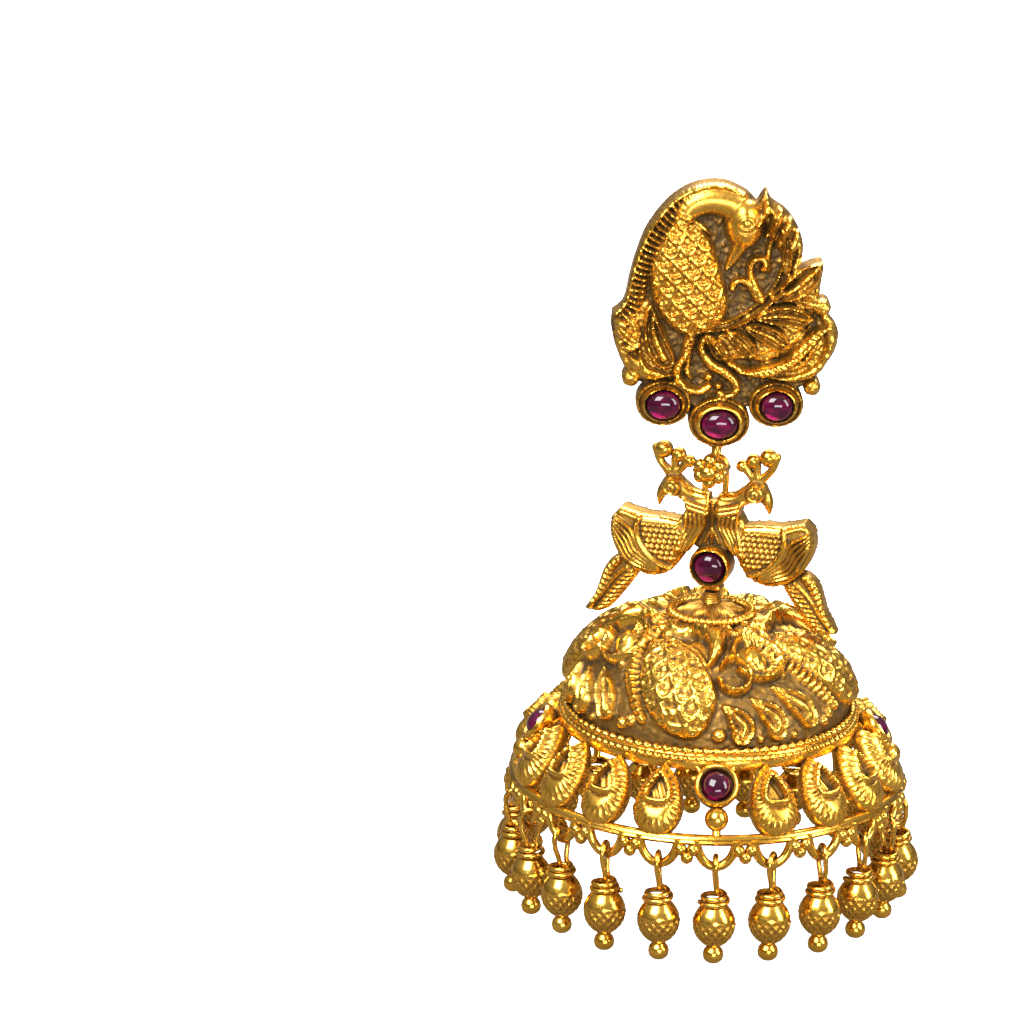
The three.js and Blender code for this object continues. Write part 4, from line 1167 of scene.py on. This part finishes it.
def closed_dome(outer, deep):
    """Points, faces and depths of the dome's shell: its worked outside and its plain inside."""
    columns = outer.shape[1]
    inner_radius = DOME_RADIUS - DOME_WALL
    inner_height = DOME_HEIGHT - DOME_WALL
    lifts = np.radians(np.linspace(89, 0, 12))
    rings = [(inner_radius * math.cos(p), FLANGE_Z + inner_height * math.sin(p)) for p in lifts]
    rings += [(inner_radius, FLANGE_LOW_Z), (DOME_RADIUS, FLANGE_LOW_Z)]
    rows = [level_ring(radius, z, columns, start=-np.pi) for radius, z in rings] + list(outer)
    poles = [[0, 0, FLANGE_Z + inner_height], [0, 0, outer[-1][:, 2].mean() + 0.01]]
    depths = np.concatenate([np.full(columns * len(rings), 0.5), deep.ravel(), [0.5, 0.6]])
    return np.vstack(rows + [poles]), grid_faces(len(rows), columns) + cap_faces(len(rows), columns), depths


def milled_ring(radius, z, wire, teeth, bite=0.35):
    """A round ring cut across into fine teeth."""
    count = teeth * POINTS_PER_TOOTH
    wave = 0.5 - 0.5 * np.cos(np.arange(count) / POINTS_PER_TOOTH * 2 * np.pi)
    return swept(level_ring(radius, z, count), wire * (1 - bite * wave), 10, closed=True)


def dome_rings():
    """The two milled rings and the plain step of the flange, and the ring round the foot."""
    shell = Shell()
    shell.add(*milled_ring(FLANGE_RADIUS - 0.62, FLANGE_Z + 0.04, 0.42, 92, bite=0.5))
    shell.add(*milled_ring(FLANGE_RADIUS - 0.38, FLANGE_LOW_Z + 0.36, 0.36, 110, bite=0.45))
    band = [(DOME_RADIUS - 0.5, FLANGE_Z - 0.1), (FLANGE_RADIUS - 0.5, FLANGE_Z - 0.1),
            (FLANGE_RADIUS - 0.32, FLANGE_Z - 0.3), (FLANGE_RADIUS - 0.35, FLANGE_LOW_Z + 0.1),
            (FLANGE_RADIUS - 0.6, FLANGE_LOW_Z), (DOME_RADIUS - 0.5, FLANGE_LOW_Z)]
    shell.add(*turned_loop(band, 140))
    shell.finish("dome_flange", BRIGHT, BELL, "pendant", "antique_gold", "bell_dome")
    lift = math.acos(COLLAR_RADIUS / DOME_RADIUS)
    collar = milled_ring(COLLAR_RADIUS, FLANGE_Z + DOME_HEIGHT * math.sin(lift) + 0.45, 0.52, 44)
    single_piece(collar, "dome_collar", ANTIQUE, BELL, "pendant", "antique_gold", "bell_dome")


def turned_loop(profile, sides):
    """A ring about Z from a closed list of [radius, z]."""
    points = np.vstack([level_ring(radius, z, sides) for radius, z in profile])
    return points, grid_faces(len(profile), sides, closed=True)


def bell_stem():
    """A barrel with fine turned rings."""
    top = high_z("bell_stem")
    bottom = low_z("bell_stem")
    share = np.linspace(0, 1, 46)
    radius = 0.66 + 0.24 * np.sin(np.pi * share) + 0.035 * np.cos(share * 2 * np.pi * STEM_RINGS)
    profile = [(0, bottom)] + list(zip(radius, bottom + (top - bottom) * share)) + [(0, top)]
    form = (*lathe(profile, 28), 0.35)
    single_piece(form, "stem_barrel", ANTIQUE, BELL, "pendant", "bright_gold", "bell_stem")


# ---------------------------------------------------------------- skirt

SKIRT_TOP_Z = high_z("bell_skirt")
SKIRT_TOP_RADIUS = 13.6
RIM_RADIUS = 18.1
RIM_Z = -46.7
SKIRT_PLACES = 20
PLACES_PER_SETTING = 5
SKIRT_STONE_UP = 1.1
SKIRT_BALL_UP = -1.8
SCALLOPS = 22
LACE_WIRE = 0.44
LACE_HALF_WIDTH = 1.75
LACE_LOW_Z = -49.2


def on_slope(place):
    """The middle of the skirt's slope at one of its places, with +Z up the slope."""
    lean = math.atan2(RIM_RADIUS - SKIRT_TOP_RADIUS, SKIRT_TOP_Z - RIM_Z)
    radius = (SKIRT_TOP_RADIUS + RIM_RADIUS) / 2
    z = (SKIRT_TOP_Z + RIM_Z) / 2
    turn = 2 * math.pi * place / SKIRT_PLACES
    return (Matrix.Rotation(turn, 4, "Z") @ Matrix.Translation((0, -radius, z))
            @ Matrix.Rotation(-lean, 4, "X"))


def teardrop():
    """One fluted teardrop with a small open teardrop raised on it."""
    x, z = flat_grid((-2.6, -4.1), (2.6, 3.3), 0.115)
    relief = Relief(x, z, flat_lift, 0.35)
    left = [(-0.9, 2.2), (-1.75, 0.9), (-2.25, -0.9), (-1.95, -2.5), (-1.05, -3.5)]
    shape = outline([[(0, 3.0), *left, (0, -3.75), *mirrored(left)], [(0, 3.0)]])
    edge = edge_of(relief, shape)
    depth = -edge
    relief.mound(shape, 1.3, 1.9)
    angle = np.arctan2(x, -(z + 0.6))
    flute = np.sqrt(np.abs(np.cos(angle * 12)))
    band = np.clip(1.25 - np.abs(depth - 0.5) / 0.6, 0, 1)
    relief.height -= 0.36 * band * (1 - flute)
    relief.settle()
    left = [(-0.65, 1.05), (-1.1, 0.0), (-0.9, -0.75)]
    rim = [(0, 1.85), *left, (0, -0.95), *mirrored(left)]
    mask, inner = relief.region(outline([rim, [rim[0]]]))
    relief.height = np.where(mask, relief.height - 0.7 * np.clip(inner / 0.35, 0, 1), relief.height)
    relief.height += np.where(mask & (inner > 0.3), 0.06 * np.sin(x * 9 + z * 4), 0)
    relief.line(rim, 0.24, 0.42, closed=True)
    relief.groove([(-0.9, -1.25), (0, -1.45), (0.9, -1.25)], 0.16, 0.16)
    deep = relief.cavity(8, 0.3)
    near = np.clip(1 + edge / 0.35, 0, 1)
    front = relief.height - 0.3 * (1 - np.sqrt(1 - near ** 2))
    back = 0.45 - 0.25 * near ** 2
    return casting(relief, edge, front, back, deep, walls=3, back_deep=np.full(deep.shape, 0.2))


def skirt_setting(shell, place):
    """A round cup on a strut, with a ball below it."""
    cup = [(0, -0.55), (1.6, -0.55), (1.85, -0.3), (1.93, 0.4), (2.03, 0.85), (2.0, 1.15), (1.84, 1.36),
           (1.62, 1.3), (1.5, 1.05), (1.46, 0.45), (0, 0.4)]
    points, faces = lathe(cup, 40)
    shell.add(forwards(points) + np.array([0, 0, SKIRT_STONE_UP]), faces, place=place)
    shell.add(*globe(0, -0.25, SKIRT_BALL_UP, 1.1, 24, dent=0.015), place=place)
    strut = spline([(0, 0.1, 0.2), (0, 0.1, -1.8), (0, 0, -3.4)])
    shell.add(*swept(strut, 0.4, 10), place=place)
    for side in (-1, 1):
        brace = spline([(side * 1.3, 0.15, 2.3), (side * 1.5, 0.2, 2.9), (side * 1.9, 0.2, 3.3)])
        shell.add(*swept(brace, 0.25, 8), place=place)


def skirt():
    teardrops = Shell()
    settings = Shell()
    form = teardrop()
    for place in range(SKIRT_PLACES):
        if place % PLACES_PER_SETTING == 0:
            skirt_setting(settings, on_slope(place))
        else:
            teardrops.add(*form, place=on_slope(place))
    teardrops.finish("skirt_teardrops", ANTIQUE, BELL, "pendant", "antique_gold", "bell_skirt")
    top = [(-0.9, 0.0), (-0.9, -0.8), (-0.2, -0.95), (0.4, -0.85), (0.5, -0.4), (0.4, 0.0)]
    settings.add(*turned_loop([(SKIRT_TOP_RADIUS + r, SKIRT_TOP_Z + z) for r, z in top], 120))
    settings.finish("skirt_settings", ANTIQUE, BELL, "pendant", "antique_gold", "bell_skirt")
    for index in range(SKIRT_PLACES // PLACES_PER_SETTING):
        place = BELL @ on_slope(index * PLACES_PER_SETTING) @ Matrix.Translation((0, -0.56, SKIRT_STONE_UP))
        stone(f"ruby_skirt_{index + 1}", f"skirt_ruby_{index + 1}", "pendant", place, 1.36, 1.36, 1.25)


def rim_and_lace():
    """The rim wire, and below it half rings with three granules between each two."""
    shell = Shell()
    rim = [(-0.45, 0.1), (-0.35, 0.42), (0, 0.5), (0.3, 0.38), (0.42, 0.16), (0.34, 0.02), (0.46, -0.14),
           (0.3, -0.42), (0, -0.5), (-0.4, -0.35)]
    shell.add(*turned_loop([(RIM_RADIUS + r, RIM_Z + z) for r, z in rim], 180))
    angle = np.linspace(0, np.pi, 19)
    scallop = np.stack([LACE_HALF_WIDTH * np.cos(angle), np.full(19, -RIM_RADIUS),
                        RIM_Z + (LACE_LOW_Z - RIM_Z) * np.sin(angle)], 1)
    for index in range(SCALLOPS):
        radius = LACE_WIRE * (1 + 0.03 * rng.normal(size=19))
        turn = 2 * math.pi * index / SCALLOPS
        shell.add(*swept(scallop, blurred(radius[None], 1)[0], 10), place=Matrix.Rotation(turn, 4, "Z"))
        knot = Matrix.Rotation(turn + math.pi / SCALLOPS, 4, "Z")
        for x, z in ((-0.56, -0.85), (0.56, -0.85), (0.0, -1.6)):
            jitter = rng.normal(size=2) * 0.04
            shell.add(*globe(x + jitter[0], -RIM_RADIUS - 0.22, RIM_Z + z + jitter[1], 0.6, 12), place=knot)
    shell.finish("skirt_rim_lace", BRIGHT, BELL, "pendant", "antique_gold", "bell_skirt")


# ---------------------------------------------------------------- drops

BEAD_HATCHES = 16


def drop_bead():
    """A round bead, hatched into diamonds below its shoulder, with a ball tip; heights from the lace wire."""
    z = np.concatenate([np.linspace(-3.5, -7.5, 38), np.linspace(-7.56, -7.7, 2),
                        np.linspace(-7.8, -9.3, 12)])
    shape = [(-9.35, 0.05), (-9.3, 0.2), (-9.15, 0.6), (-8.9, 0.85), (-8.5, 0.95), (-8.1, 0.88), (-7.9, 0.75),
             (-7.75, 0.6), (-7.6, 0.6), (-7.45, 0.85), (-7.1, 1.3), (-6.6, 1.68), (-6.1, 1.88), (-5.5, 1.97),
             (-4.9, 1.88), (-4.3, 1.6), (-3.9, 1.3), (-3.6, 1.05), (-3.5, 0.8)]
    radius = np.interp(z, *zip(*shape))

    def hatch(angle, height):
        weight = np.clip((height + 7.4) / 0.3, 0, 1) * np.clip((-4.7 - height) / 0.6, 0, 1)
        turns = angle * BEAD_HATCHES / (2 * np.pi)
        lines = [np.abs((turns + lean * height / 0.86) % 1 - 0.5) for lean in (1, -1)]
        ridge = np.clip(np.maximum(*lines) * 2 - 0.62, 0, 1) / 0.38
        return weight * (0.2 * ridge - 0.17)
    points, faces = lathe([(0, z[0])] + list(zip(radius, z)) + [(0, z[-1])], 96, bump=hatch)
    radial = np.hypot(points[:, 0], points[:, 1])
    smooth = np.interp(points[:, 2], z[::-1], radius[::-1])
    deep = np.clip((smooth - radial) / 0.14, 0, 1) * (radial > 0.3) * 0.75
    return points, faces, deep


def drop_wire(turns):
    """A long loop over the lace, carried on into the wraps on the bead's shoulder and a loose end."""
    angle = np.linspace(np.radians(-115), np.radians(115), 20)
    loop = np.stack([0.1 * np.sin(angle), 0.92 * np.sin(angle), 0.98 * np.cos(angle)], 1)
    front = [(0.12, -0.35, -2.5), (0.08, -0.6, -1.6), (-0.02, -0.85, -0.9)]
    back = [(0.05, 0.8, -0.9), (0.1, 0.55, -1.7), (0.2, 0.5, -2.4)]
    spin = np.linspace(0.4, 2 * np.pi * turns, int(20 * turns))
    wide = np.interp(spin, [0, 3, spin[-1]], [0.75, 1.02, 1.22])
    coil = np.stack([wide * np.sin(spin), wide * np.cos(spin), -2.55 - 0.5 * spin / (2 * np.pi)], 1)
    onward = coil[-1] - coil[-4]
    end = coil[-1] + 0.4 * onward / np.linalg.norm(onward) + np.array([0.12, 0.1, -0.1])
    path = np.vstack([front, loop, back, coil, [end]])
    return swept(spline(path, per_mm=2.6), 0.25, 8)


def drops():
    bead = drop_bead()
    for index in range(SCALLOPS):
        spread = rng.normal(size=5)
        turn = Matrix.Rotation(2 * math.pi * index / SCALLOPS, 4, "Z")
        hang = Matrix.Translation((0, -RIM_RADIUS, LACE_LOW_Z))
        sway = Matrix.Rotation(math.radians(1.6 * spread[1]), 4, "X")
        sway = sway @ Matrix.Rotation(math.radians(1.8 * spread[2]), 4, "Y")
        twist = Matrix.Rotation(math.radians(18 * spread[0]), 4, "Z")
        shell = Shell()
        shell.add(*bead, place=Matrix.Rotation(spread[3], 4, "Z"))
        shell.add(*drop_wire(1.75 + 0.2 * (index % 3)), deep=0.05)
        number = f"{index + 1:02d}"
        place = BELL @ turn @ hang @ sway @ twist
        shell.finish(f"fringe_{number}", BRIGHT, place, "pendant", "bright_gold", f"drop_{number}")


# ---------------------------------------------------------------- stage, lights and camera

FLOOR_SIZE = 3.0  # metres
FLOOR_DROP = 0.012  # metres below the lowest drop
LIGHT_TARGET = Vector((0, 0, -0.03))
CAMERA_TARGET = Vector((-18.63, 0, -21.84)) * MM
CAMERA_DISTANCE = 310.5 * MM
CAMERA_ELEVATION = 16.6
CAMERA_ROLL = 0.85
CAMERA_LENS = 118.65


def floor():
    bpy.ops.mesh.primitive_plane_add(size=FLOOR_SIZE, location=(0, 0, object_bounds()[0][2] - FLOOR_DROP))
    plane = bpy.context.object
    plane.name = "floor"
    material, tree, shader = new_material("pale_floor_dark_in_reflections")
    where = add_node(tree, "TexCoord", "Object")
    pale = mixed(tree, noise(tree, where, 6), (0.95, 0.95, 0.95), (0.92, 0.92, 0.92))
    # painted reflection: glossy rays see the floor dark grey, so the metal mirrors a dark floor while the
    # camera sees it pale
    mirrored = add_node(tree, "LightPath", "Is Glossy Ray")
    tree.links.new(mixed(tree, mirrored, pale, (0.12, 0.11, 0.1)), shader.inputs["Base Color"])
    shader.inputs["Specular IOR Level"].default_value = 0.0
    shader.inputs["Roughness"].default_value = 0.9
    plane.data.materials.append(material)
    plane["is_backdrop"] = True


def direction(azimuth_deg, elevation_deg):
    """A unit vector out from the earring; azimuth 0 is the front and 90 is +X."""
    a = math.radians(azimuth_deg)
    e = math.radians(elevation_deg)
    return Vector((math.sin(a) * math.cos(e), -math.cos(a) * math.cos(e), math.sin(e)))


def soft_light(name, azimuth_deg, elevation_deg, distance, size, power):
    """A softbox that looks at the earring from a direction."""
    away = direction(azimuth_deg, elevation_deg)
    data = bpy.data.lights.new(name, "AREA")
    data.shape = "RECTANGLE"
    data.size = size[0]
    data.size_y = size[1]
    data.energy = power
    lamp = bpy.data.objects.new(name, data)
    lamp.location = LIGHT_TARGET + away * distance
    lamp.rotation_euler = (-away).to_track_quat("-Z", "Y").to_euler()
    bpy.context.scene.collection.objects.link(lamp)


def world():
    """White all round; what the metal mirrors is graded, bright above and dark low down."""
    sky = bpy.data.worlds.new("studio")
    bpy.context.scene.world = sky
    sky.use_nodes = True
    tree = sky.node_tree
    where = add_node(tree, "TexCoord", "Generated")
    height = add_node(tree, "SeparateXYZ", "Z", {0: where})
    grade = ranged(tree, height, -0.1, 0.95, 0.05, 0.72)
    mirrored = add_node(tree, "LightPath", "Is Glossy Ray")
    tree.links.new(mixed(tree, mirrored, (1.0, 1.0, 1.0), grade), tree.nodes["Background"].inputs["Color"])
    bpy.context.scene.view_settings.view_transform = "Standard"


def camera():
    """A long lens a little above the earring, which hangs right of the middle of the frame."""
    away = direction(0, CAMERA_ELEVATION)
    data = bpy.data.cameras.new("camera")
    data.lens = CAMERA_LENS
    data.sensor_width = 36
    data.clip_start = 0.01
    viewer = bpy.data.objects.new("camera", data)
    viewer.location = CAMERA_TARGET + away * CAMERA_DISTANCE
    look = (-away).to_track_quat("-Z", "Y").to_matrix().to_4x4()
    roll = Matrix.Rotation(math.radians(CAMERA_ROLL), 4, "Z")
    viewer.matrix_world = Matrix.Translation(viewer.location) @ look @ roll
    bpy.context.scene.collection.objects.link(viewer)
    bpy.context.scene.camera = viewer


stud_plaque()
stud_stones()
ear_post()
link_ring()
peacock_pair()
pair_loop_and_flower()
bell_dome()
dome_rings()
bell_stem()
skirt()
rim_and_lace()
drops()
floor()
soft_light("key", -35, 48, 0.5, (0.3, 0.3), 5.6)
soft_light("fill", 62, 25, 0.5, (0.16, 0.36), 2.6)
soft_light("back", 170, 50, 0.5, (0.4, 0.25), 4.0)
soft_light("front", 8, 4, 0.55, (0.3, 0.1), 1.6)
world()
camera()
